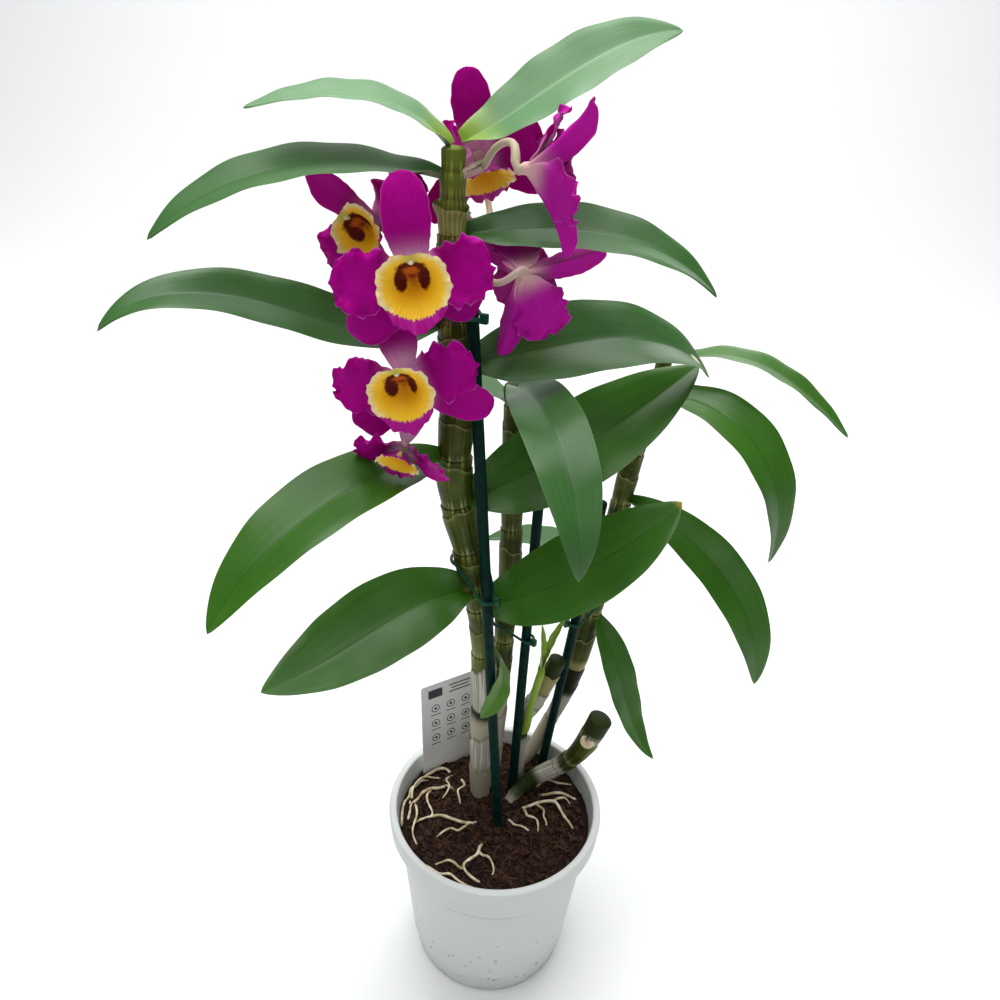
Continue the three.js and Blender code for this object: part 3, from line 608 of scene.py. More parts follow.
@dataclass(frozen=True)
class LipSkin(Finish):
    """Lip: golden disc with two maroon eyes, a pleated cream margin and a magenta fringe below."""

    eye: str = "#560403"
    amber: str = "#8e2f06"  # between the eyes
    ridge: str = "#c8640c"  # above it, under the bridge
    margin: str = "#fbe3a8"
    throat: str = "#cfc04a"
    fringe: str = "#af008b"
    golds: tuple[str, str, str] = ("#d98206", "#f8a806", "#ffcf2e")  # deep in, on the way and near the rim
    margin_from: Pair = (0.9, 1.06)  # share of the depth
    ragged: float = 2.2  # millimetres that the rays of the fringe reach inwards
    wobble: float = 1.6  # millimetres that the outlines of the blots wander
    chart_size: float = 40.0  # millimetres that the UV map spans

    def paint(self) -> bpy.types.Material:
        """Makes the material.

        Returns:
            The new material.
        """
        tree = Tree(
            self.name, self.colour, self.roughness, Specular_IOR_Level=0.25, Subsurface_Weight=0.06,
            Subsurface_Scale=0.002,
        )
        chart = tree.add("TexCoord").outputs["UV"]
        size = (self.chart_size,) * 3
        half = -self.chart_size / 2
        face = tree.add("Mapping", {"Vector": chart, "Scale": size, "Location": (half, half, 0)}).outputs[0]
        wander = tree.add("TexNoise", {"Vector": face, "Scale": 0.9, "Detail": 2}).outputs["Color"]
        shift = tree.add("VectorMath", {0: wander, 1: (0.5, 0.5, 0.5)}, operation="SUBTRACT").outputs[0]
        wobbly = {0: shift, 1: (self.wobble, self.wobble, 0), 2: face}
        spot = tree.add("VectorMath", wobbly, operation="MULTIPLY_ADD").outputs[0]

        def blot(
            centre: Pair, radii: Pair, soft: float
        ) -> Socket:
            """Adds a soft oval patch of the face.

            Args:
                centre: its middle, in millimetres from that of the lip.
                radii: half its width and half its height.
                soft: share of the radii over which it fades.
            Returns:
                1 in the patch and 0 off it.
            """
            scale = (1 / radii[0], 1 / radii[1], 0)
            offset = (-centre[0] / radii[0], -centre[1] / radii[1], 0)
            local = tree.add("Mapping", {"Vector": spot, "Scale": scale, "Location": offset})
            reach = tree.add("VectorMath", {0: local.outputs[0]}, operation="LENGTH").outputs["Value"]
            rim = {"Value": reach, "From Min": 1 + soft, "From Max": 1 - soft}
            return tree.add("MapRange", rim).outputs[0]

        rays, depth, fringe = (
            tree.add("Attribute", attribute_name=name).outputs["Fac"] for name in ("ray", "depth", "fringe")
        )
        along = {"W": rays, "Scale": 1, "Detail": 2}
        pleat = tree.add("TexNoise", along, noise_dimensions="1D").outputs["Fac"]
        inner, outer, last = self.golds
        stops = [(0.0, inner), (0.16, outer), (0.4, self.colour), (0.85, last)]
        gold = tree.add("ValToRGB", {"Fac": depth}, stops).outputs["Color"]
        ragged = tree.add("Math", {0: pleat, 1: 0.22, 2: depth}, operation="MULTIPLY_ADD").outputs[0]
        low, high = self.margin_from
        cream = tree.add("MapRange", {"Value": ragged, "From Min": low, "From Max": high}).outputs[0]
        left, right = blot((-4.6, 1.6), (2.4, 4.4), 0.14), blot((4.1, 1.9), (2.4, 4.6), 0.14)
        eyes = tree.add("Math", {0: left, 1: right}, operation="MAXIMUM").outputs[0]
        bridge = blot((-0.2, 5.9), (5.6, 2.5), 0.16)
        arch = tree.add("Math", {0: eyes, 1: bridge}, operation="MAXIMUM").outputs[0]
        rayed = tree.add("Math", {0: pleat, 1: self.ragged, 2: fringe}, operation="MULTIPLY_ADD").outputs[0]
        magenta = tree.add("MapRange", {"Value": rayed, "From Min": -0.35, "From Max": 0.35}).outputs[0]
        layers = (
            (cream, self.margin), (blot((0, 9.6), (3.4, 3.0), 0.5), self.throat), (arch, self.eye),
            (blot((-0.3, 2.6), (2.5, 1.9), 0.6), self.amber),
            (blot((-0.4, 4.7), (2.9, 1.4), 0.3), self.ridge), (magenta, self.fringe),
        )
        return tree.complete(gold, layers, pleat, 0.4, 0.6)


@dataclass(frozen=True)
class CaneSkin(Finish):
    """Cane in its sheaths: fine long ridges, pale ribs and a dark ring at the nodes, drying low down."""

    light: str = "#5f6a20"
    young: str = "#68792a"
    rib: str = "#b4b47c"
    dry: str = "#a59a7c"
    dark: str = "#23240c"
    ridges: int = 20  # around the cane
    streak: float = 0.12  # how much of the pale ridges shows between the nodes
    clouds: float = 90  # to the metre

    def paint(self) -> bpy.types.Material:
        """Makes the material.

        Returns:
            The new material.
        """
        tree = Tree(self.name, self.colour, self.roughness, Specular_IOR_Level=0.16)
        chart = tree.add("TexCoord").outputs
        around = (3.0, self.ridges * 2, 1)
        stretch = tree.add("Mapping", {"Vector": chart["UV"], "Scale": around}).outputs[0]
        fine = tree.add("TexNoise", {"Vector": stretch, "Scale": 1, "Detail": 4}).outputs["Fac"]
        cloudy = {"Vector": chart["Object"], "Scale": self.clouds, "Detail": 4}
        cloud = tree.add("TexNoise", cloudy).outputs["Fac"]
        band, ring, dryness, youth = (
            tree.add("Attribute", attribute_name=name).outputs["Fac"]
            for name in ("band", "ring", "dry", "young")
        )
        green = tree.add("ValToRGB", {"Fac": cloud}, [(0.35, self.colour), (0.7, self.light)])
        dried = tree.add("Math", {0: cloud, 1: 0.9, 2: dryness}, operation="MULTIPLY_ADD").outputs[0]
        dried = tree.add("MapRange", {"Value": dried, "From Min": 0.75, "From Max": 1.1}).outputs[0]
        ribbed = tree.add("MapRange", {"Value": fine, "From Min": 0.48, "From Max": 0.6}).outputs[0]
        ribs = tree.add("Math", {0: band, 1: ribbed}, operation="MULTIPLY").outputs[0]
        streaks = tree.add("Math", {0: ribbed, 1: self.streak}, operation="MULTIPLY").outputs[0]
        pale = tree.add("Math", {0: ribs, 1: streaks}, operation="MAXIMUM").outputs[0]
        layers = ((youth, self.young), (dried, self.dry), (pale, self.rib), (ring, self.dark))
        return tree.complete(green.outputs["Color"], layers, fine, 0.35, 0.8)


@dataclass(frozen=True)
class Speckled(Finish):
    """A mottled surface: a second colour in clouds of a given size, with a matching grain."""

    second: str = "#000000"
    cloud: float = 6.0  # millimetres across
    grain: float = 0.4  # millimetres of relief
    contrast: Pair = (0.35, 0.65)
    gloss: float = 0.3

    def paint(self) -> bpy.types.Material:
        """Makes the material.

        Returns:
            The new material.
        """
        tree = Tree(self.name, self.colour, self.roughness, Specular_IOR_Level=self.gloss)
        place = tree.add("TexCoord").outputs["Object"]
        clouds = {"Vector": place, "Scale": 1 / (self.cloud * MM), "Detail": 6}
        cloud = tree.add("TexNoise", clouds).outputs["Fac"]
        stops = list(zip(self.contrast, (self.colour, self.second)))
        ramp = tree.add("ValToRGB", {"Fac": cloud}, stops)
        return tree.complete(ramp.outputs["Color"], (), cloud, 0.7, self.grain)


# Injection-moulded: a smooth satin skin with soft highlights.
POT_WHITE = Polypropylene("polypropylene_moulded_white", "#d4d8d6", 0.42)
# Damp composted bark: nearly black and dull, so that the loose chips stand out.
BARK = Speckled("pine_bark_composted", "#0c0504", 0.85, second="#2a150c", cloud=5, grain=0.8, gloss=0.2)
# Torn chips: browner and a little smoother on their broken faces.
BARK_CHIP = Speckled("pine_bark_chips", "#140906", 0.75, second="#452617", cloud=3, grain=0.5)
# Coconut fibre: thin matt threads, drawn thicker than they are so that they show.
FIBRE = Speckled("coir_fibre", "#331c11", 0.8, second="#66442c", cloud=8, grain=0.1)
# Velamen, the spongy coat of an air root: cream with tan patches, and matt.
ROOT_SKIN = Speckled("root_velamen_cream", "#ab9468", 0.7, second="#f0e6ca", cloud=5, grain=0.3)
# Calendered polystyrene sheet and screen ink: flat even colours, the sheet with a slight sheen.
CARD_WHITE = Finish("polystyrene_sheet_white", "#fbfcff", 0.35)
INK = Finish("screen_ink_grey", "#43484e", 0.5)
# Extruded coating over steel: a very dark green with a broken, waxy shine.
STAKE_GREEN = Speckled(
    "polyethylene_coating_dark_green", "#01201a", 0.55, second="#032d24", cloud=4, grain=0.15, gloss=0.08
)
# Moulded nylon: brighter than the stakes, and smoother.
TIE_GREEN = Speckled("nylon_tie_green", "#033c2a", 0.4, second="#07523a", cloud=4, grain=0.05, gloss=0.2)
# Living cane under its sheaths: dark olive with a soft shine, and straw where a sheath has dried.
CANE_GREEN = CaneSkin(
    "orchid_cane_sheathed_green", "#262f04", 0.42, light="#46520c", rib="#949a44", dry="#b3ac96",
    streak=0.06,
)
# Old cane in papery sheaths: matt, with bold pale stripes.
CANE_DRY = CaneSkin(
    "orchid_cane_sheathed_dry", "#39420f", 0.6, light="#626b2a", rib="#e4e1d4", dry="#b5b0a2",
    dark="#27330a", streak=0.5, ridges=13,
)
# Loose green sheath: paler than the cane that it wraps, with a fine stripe.
SHEATH = CaneSkin(
    "orchid_sheath_green", "#303a08", 0.42, light="#515d18", young="#8c9b4c", rib="#bcc27e",
    dry="#827f4a", dark="#9a9662", streak=0.08,
)
# Dead sheath, bleached like paper: dull grey with whitish stripes.
HUSK = CaneSkin(
    "orchid_husk_bleached", "#8f8d7c", 0.65, light="#a7a492", rib="#f0ede4", dry="#a9a494",
    dark="#27330a", streak=0.7, ridges=13,
)
# Sawn cane, dried: cream and chalky.
CUT_TISSUE = Speckled("cane_cut_dried_cream", "#c9b58c", 0.7, second="#efe2c2", cloud=3, grain=0.3)
# Young growth: a light yellow green with a thin wax.
SHOOT_GREEN = LeafSkin(
    "orchid_shoot_young", "#7fa326", 0.4, vein="#9cbc3c", edge="#b9d05c", crease="#b9d05c"
)
# Flower stalk: pale olive that blushes in patches, with a slight shine.
PEDICEL = Speckled("orchid_pedicel_blush", "#b4b184", 0.45, second="#c8a6a6", cloud=12, grain=0.1)
# Petals: a dense magenta without any gloss, and a whitish foot.
PETAL_SKIN = PetalSkin(
    "orchid_petal_magenta", "#af008b", 0.6, vein="#810064", foot="#de9ccf", foot_reach=0.46, foot_full=0.1
)
SEPAL_SKIN = replace(
    PETAL_SKIN, name="orchid_sepal_magenta", foot="#e6b2d6", foot_reach=0.52, foot_full=0.12
)
# Their backs: a shade lighter and pinker, fading to a fleshy foot.
PETAL_BACK = PetalSkin(
    "orchid_petal_back_pale", "#bb18a0", 0.6, vein="#8f0f78", foot="#d9b0ac", foot_full=0.0
)
# Lip: warm gold and velvety, with the blots of its guide marks.
LIP_SKIN = LipSkin("orchid_lip_golden", "#ffb806", 0.6)
LIP_BACK = PetalSkin("orchid_lip_back_magenta", "#a8308c", 0.5)
# Column and its cap: fleshy, smooth and slightly shiny.
COLUMN_SKIN = Speckled("orchid_column_green", "#b9af3a", 0.4, second="#d6cf7c", cloud=5, grain=0.1)
ANTHER = Speckled("orchid_anther_white", "#e6e2b8", 0.4, second="#f3e6dc", cloud=2, grain=0.1)
# Coated paper that hangs behind: matt and nearly white.
BACKDROP = Finish("paper_backdrop_white", "#f3f4f5", 0.9)


class LeafTone(Enum):
    """The greens of the leaves, from the shaded low ones to the top ones, whose paler grey-green is a painted
    reflection of the sky.
    """

    LOW = LeafSkin(
        "orchid_leaf_deep_green", "#26520b", 0.38, vein="#437b19", edge="#7c9a44", crease="#173a06"
    )
    BRIGHT = LeafSkin(
        "orchid_leaf_bright_green", "#42701a", 0.4, vein="#628f2c", edge="#93ab50", crease="#315a14"
    )
    MIDDLE = LeafSkin(
        "orchid_leaf_green", "#2b5420", 0.38, vein="#447637", edge="#86a465", crease="#1c3f14"
    )
    # the top leaves' paler grey-green is a painted reflection of the sky on their wax, not their own colour
    HIGH = LeafSkin(
        "orchid_leaf_grey_green_painted_sky_sheen", "#507c4e", 0.42, vein="#6e9c69", edge="#9ab885", crease="#8fb284",
        base="#86a436",
    )
    YELLOW_TIP = replace(LOW, name="orchid_leaf_yellow_tip", tip="#b9a23c")
    SCARRED = replace(MIDDLE, name="orchid_leaf_scarred", scar=(0.9, 0.42))
    MATT = replace(MIDDLE, name="orchid_leaf_matt", gloss=0, roughness=0.5)
    UNDER = LeafSkin(
        "orchid_leaf_underside", "#4f6b35", 0.5, vein="#64823f", edge="#8fa862", crease="#8fa862", gloss=0.05
    )


# ---------- pot, substrate and card


@dataclass
class Pot:
    """The moulded nursery pot, sized from its box in the frame."""

    rim: float
    height: float
    foot: float = 44.5
    foot_round: float = 1.2
    foot_cut: float = 0.35
    shoulder: float = 55.6
    wall: float = 1.4
    floor: float = 1.8
    band: float = 11
    band_gap: float = 1.5
    band_draft: float = 0.6
    rim_round: float = 1.3
    step: float = 1.1
    step_heights: Pair = (14, 80)
    groove: float = 0.7
    drain_radius: float = 4
    drain_circle: float = 31
    drains: int = 8
    drain_sides: int = 24
    floor_round: float = 1
    soft: float = 0.4  # rounding inside the band
    edge: float = 0.3  # and at its lower edge
    sides: int = 144

    @classmethod
    def from_frame(cls) -> Pot:
        """The pot whose rim and height are those of its solid."""
        low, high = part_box("pot")
        return cls(rim=(high.x - low.x) / 2 / MM, height=high.z / MM)

    def wall_radius(self, z: float) -> float:
        """Outer radius of the wall at a height."""
        rings = sum(self.step * smooth(at, at + 1, z) for at in self.step_heights)
        return lerp(self.foot, self.shoulder - 2 * self.step, z / (self.height - self.band)) + rings

    def inner_radius(self, z: float) -> float:
        """Inner radius of the wall at a height."""
        return lerp(self.foot - self.wall, self.rim - 2 * self.wall - self.band_gap, z / self.height)

    def profile(self) -> list[Pair]:
        """Radius and height of the wall's outline, from the outer bottom over the rim to the floor.

        Returns:
            The points of the outline, in order.
        """
        top, under = self.height, self.height - self.wall
        band_foot = self.height - self.band
        behind = self.rim - self.wall - self.band_gap
        soft, edge = self.soft, self.edge
        points = [(self.foot - self.foot_round, 0), (self.foot - self.foot_cut, self.foot_cut)]
        points += [(self.foot + 0.1, self.foot_round)]
        for at in self.step_heights:
            # a groove just below the step, then the step with its soft edge
            cut = self.wall_radius(at) - self.groove
            points += [(self.wall_radius(at - 1.5), at - 1.5), (cut, at - 0.8), (cut, at)]
            points += [(self.wall_radius(at + up), at + up) for up in (0.3, 0.7, 1, 1.5)]
        points += [(behind - self.step, band_foot), (behind, under - soft), (behind + soft, under)]
        points += [(self.rim - self.wall - edge, under), (self.rim - self.wall, under - soft)]
        inner, outer = self.rim - self.wall - self.band_draft, self.rim - self.band_draft
        points += [(inner, band_foot + edge), (inner + edge, band_foot), (outer - edge, band_foot)]
        points += [(outer, band_foot + edge)]
        inside = self.inner_radius(top) + self.rim_round
        for middle, first in ((self.rim - self.rim_round, 0), (inside, 90)):
            for turn in range(first, first + 91, 15):
                spot = heading(turn) * self.rim_round
                points.append((middle + spot.x, top - self.rim_round + spot.y))
        points += [(self.inner_radius(z), z) for z in (80, 40, self.floor + 2)]
        points += [(self.inner_radius(self.floor) - self.floor_round, self.floor)]
        return points

    def build(self) -> None:
        """Makes the pot: the wall as one turned skin, and a floor with its drain holes."""
        shape = Shape()
        profile = self.profile()
        last = len(profile) - 1

        def turned(u: float, v: float) -> Vector:
            """The outline's point u at v of the turn."""
            radius, z = profile[round(u * last)]
            return heading(360 * v) * radius + UP * z

        shape.weld(shape.skin(last, self.sides, turned))
        self.add_floor(shape)
        shape.settle("pot_shell", "pot_plastic", [POT_WHITE], ["pot"], sharp=40)

    def add_floor(self, shape: Shape) -> None:
        """Adds the two faces of the floor and the walls of its drain holes.

        Args:
            shape: the mesh to add to.
        """
        inside = self.inner_radius(self.floor) - self.floor_round
        levels = ((0.0, self.foot - self.foot_round), (self.floor, inside))
        for z, radius in levels:
            place = Matrix.Translation(UP * z)
            bmesh.ops.create_circle(shape.bm, segments=self.sides, radius=radius, matrix=place)
        for hole in range(self.drains):
            middle = heading(360 / self.drains * (hole + 0.5)) * self.drain_circle
            edges = set()
            for z, _ in levels:
                ring = bmesh.ops.create_circle(
                    shape.bm, segments=self.drain_sides, radius=self.drain_radius,
                    matrix=Matrix.Translation(middle + UP * z),
                )["verts"]
                edges |= {edge for vert in ring for edge in vert.link_edges}
            bmesh.ops.bridge_loops(shape.bm, edges=list(edges))
        for z, _ in levels:
            loose = [edge for edge in shape.bm.edges if len(edge.link_faces) < 2]
            level = [edge for edge in loose if all(abs(v.co.z - z) < 1e-3 for v in edge.verts)]
            bmesh.ops.triangle_fill(shape.bm, edges=level, use_beauty=True, use_dissolve=False)
        shape.weld(shape.bm.verts, 0.01)


@dataclass
class Substrate:
    """Bark that fills the pot: a crumbly bed with loose chips and fibres on it."""

    pot: Pot
    top: float = 97
    bump: float = 1.1
    humps: Pair = (9, 8)
    ripple: float = 4.6
    gap: float = 0.5
    crumb: float = 1.4
    rings: int = 44
    sides: int = 160
    chips: int = 1500
    fine_share: float = 0.75  # of the chips
    fine_size: Pair = (0.9, 1.6)
    coarse_size: Pair = (1.6, 3.2)
    chip_tilt: float = 0.5  # radians
    chip_dent: float = 0.18  # share of its size that a corner is off
    fibres: int = 260
    fibre_radius: Pair = (0.12, 0.3)
    fibre_lift: Pair = (0.3, 1.3)
    fibre_step: Pair = (2, 4.5)
    fibre_bend: float = 50

    def height(self, x: float, y: float) -> float:
        """Height of the bed at a place, without its crumbs."""
        humps = math.sin(x / self.humps[0] + 1) * math.cos(y / self.humps[1])
        return self.top + self.bump * (humps + 0.5 * math.sin((x - y) / self.ripple))

    def relief(self, x: float, y: float) -> float:
        """Crumbs on the bed, from large to small."""
        spot = Vector((x, y, 0))
        return sum(self.crumb / k * noise.noise(spot * k / 4) for k in (1, 2, 4))

    def build(self) -> None:
        """Makes the bed and what lies on it."""
        rng = random.Random(SEED)
        rim = self.pot.inner_radius(self.top) - self.gap
        self.build_bed(rim)
        self.build_chips(rng, rim)
        self.build_fibres(rng, rim)

    def build_bed(self, rim: float) -> None:
        """Makes the bed: a closed plug with a crumbly top.

        Args:
            rim: its radius at the top.
        """
        shape = Shape()
        low = self.pot.floor + self.gap
        rings = [(0.0, low), (self.pot.inner_radius(0) - 2 * self.gap, low)]
        edge = len(rings)
        rings += [(rim * (1 - (i / self.rings)), self.top) for i in range(self.rings + 1)]
        last = len(rings) - 1

        def place(u: float, v: float) -> Vector:
            """The point of ring u at v of the turn.

            Args:
                u: share of the rings.
                v: share of the turn.
            Returns:
                The point.
            """
            row = round(u * last)
            radius, z = rings[row]
            spot = heading(360 * v) * radius
            if row >= edge:
                z = self.height(spot.x, spot.y) + self.relief(spot.x, spot.y)
            return Vector((spot.x, spot.y, z))

        shape.weld(shape.skin(last, self.sides, place))
        shape.settle("substrate_bed", "bark", [BARK], ["substrate"], sharp=180)

    def build_chips(self, rng: random.Random, rim: float) -> None:
        """Makes the loose bark chips.

        Args:
            rng: the random source.
            rim: radius of the bed.
        """
        shape = Shape()
        for _ in range(self.chips):
            reach = rim * math.sqrt(rng.random()) - 2.5
            spot = heading(rng.uniform(0, 360)) * max(reach, 0)
            size = rng.uniform(*(self.fine_size if rng.random() < self.fine_share else self.coarse_size))
            tilts = [rng.uniform(-self.chip_tilt, self.chip_tilt) for _ in range(2)]
            turn = Euler([*tilts, rng.uniform(0, math.tau)]).to_matrix()
            squash = Matrix.Diagonal((size, size * rng.uniform(0.45, 0.9), size * rng.uniform(0.25, 0.6)))
            lift = self.height(spot.x, spot.y) + self.relief(spot.x, spot.y) + 0.15 * size
            place = Matrix.Translation((spot.x, spot.y, lift)) @ (turn @ squash).to_4x4()
            made = bmesh.ops.create_icosphere(shape.bm, subdivisions=1, radius=1, matrix=place)["verts"]
            for vert in made:
                vert.co += Vector([rng.uniform(-self.chip_dent, self.chip_dent) * size for _ in range(3)])
        shape.settle("substrate_chips", "bark", [BARK_CHIP], sharp=25)

    def build_fibres(self, rng: random.Random, rim: float) -> None:
        """Makes the thin fibres that lie over the chips.

        Args:
            rng: the random source.
            rim: radius of the bed.
        """
        shape = Shape()
        for _ in range(self.fibres):
            spot = heading(rng.uniform(0, 360)) * max(rim * math.sqrt(rng.random()) - 6, 0)
            turn = rng.uniform(0, 360)
            points = []
            for _ in range(4):
                if math.hypot(spot.x, spot.y) < rim - 2:
                    lift = self.height(spot.x, spot.y) + rng.uniform(*self.fibre_lift)
                    points.append((spot.x, spot.y, lift))
                turn += rng.uniform(-self.fibre_bend, self.fibre_bend)
                spot = spot + heading(turn) * rng.uniform(*self.fibre_step)
            if len(points) < 3:
                continue
            thick = rng.uniform(*self.fibre_radius)
            rows = [(0, 0), *((share, thick) for share in (0.1, 0.35, 0.65, 0.9)), (1, 0)]
            shape.tube(Route(points), rows, 4)
        shape.settle("substrate_fibres", "bark", [FIBRE])


@dataclass
class CareCard:
    """A stiff printed tag with plain bars and round pictograms of no maker."""

    width: float = 38
    thickness: float = 0.6
    above: float = 64
    below: float = 34
    tail: float = 12
    corner: Triple = (-44, 28, 97)
    turn: float = 32
    lean_back: float = 3
    corner_round: float = 1.5
    print_lift: float = 0.04

    def pose(self) -> Matrix:
        """Turns the card's own frame, x to the right and y up, into place."""
        lean = Matrix.Rotation(math.radians(90 - self.lean_back), 4, "X")
        return Matrix.Translation(self.corner) @ Matrix.Rotation(math.radians(self.turn), 4, "Z") @ lean

    def build(self) -> None:
        """Makes the card and its print."""
        shape = Shape()
        right, deep, third = self.width, -self.below, self.width / 3
        corners = [(0, self.above), (0, deep + self.tail), (third, deep), (right - third, deep)]
        corners += [(right, deep + self.tail), (right, self.above)]
        verts = [shape.bm.verts.new((x, y, -self.thickness / 2)) for x, y in corners]
        bmesh.ops.contextual_create(shape.bm, geom=verts)
        rounded = [vert for vert in verts if vert.co.y > 0]
        bmesh.ops.bevel(
            shape.bm, geom=rounded, offset=self.corner_round, segments=5, affect="VERTICES", profile=0.5,
            material=-1,
        )
        made = bmesh.ops.extrude_face_region(shape.bm, geom=shape.bm.faces[:])["geom"]
        front = [part for part in made if isinstance(part, bmesh.types.BMVert)]
        bmesh.ops.translate(shape.bm, vec=(0, 0, self.thickness), verts=front)
        bmesh.ops.transform(shape.bm, matrix=self.pose(), verts=shape.bm.verts)
        shape.settle("care_card_sheet", "card_plastic", [CARD_WHITE], ["care_card"], sharp=30)
        self.build_print()

    def bar(self, shape: Shape, x: float, y: float, wide: float, tall: float) -> None:
        """Adds a printed bar on the front, with its middle at x and y.

        Args:
            shape: the mesh to add to.
            x: its middle from the card's left edge.
            y: and from the bark up.
            wide: its width.
            tall: its height.
        """
        place = Matrix.Translation((x, y, self.thickness / 2 + self.print_lift / 2))
        scale = Matrix.Diagonal((wide, tall, self.print_lift, 1))
        bmesh.ops.create_cube(shape.bm, size=1, matrix=place @ scale)

    def ring(self, shape: Shape, x: float, y: float, radius: float) -> None:
        """Adds a printed ring with a dot in it.

        Args:
            shape: the mesh to add to.
            x: its middle from the card's left edge.
            y: and from the bark up.
            radius: its outer radius.
        """
        middle = Matrix.Translation((x, y, self.thickness / 2 + self.print_lift / 2))
        for outer, inner in ((radius, radius * 0.8), (radius * 0.35, 0.0)):
            section = [(outer, 0), (inner, 0), (inner, self.print_lift), (outer, self.print_lift)]

            def place(u: float, v: float, section: list[Pair] = section) -> Vector:
                """The point of corner u of the section at v of the turn."""
                reach, z = section[round(u * 4) % 4]
                return middle @ (heading(360 * v) * reach + UP * (z - self.print_lift / 2))

            shape.weld(shape.skin(4, 20, place), 0.002)

    def build_print(self) -> None:
        """Makes the print: a dark block, lines of plain bars and three rows of pictograms."""
        shape = Shape()
        self.bar(shape, 9, self.above - 7, 9, 6)
        for i in range(3):
            self.bar(shape, 25, self.above - 4.5 - 2.4 * i, 14 - 3 * (i % 2), 0.8)
        for row in range(3):
            for column in range(3):
                x, y = 9 + 10 * column, self.above - 18 - 11 * row
                self.ring(shape, x, y, 2.7)
                self.bar(shape, x, y - 4.6, 6, 0.6)
        bmesh.ops.transform(shape.bm, matrix=self.pose(), verts=shape.bm.verts)
        shape.settle("care_card_print", "card_plastic", [INK], sharp=30)


# ---------- canes and what holds them


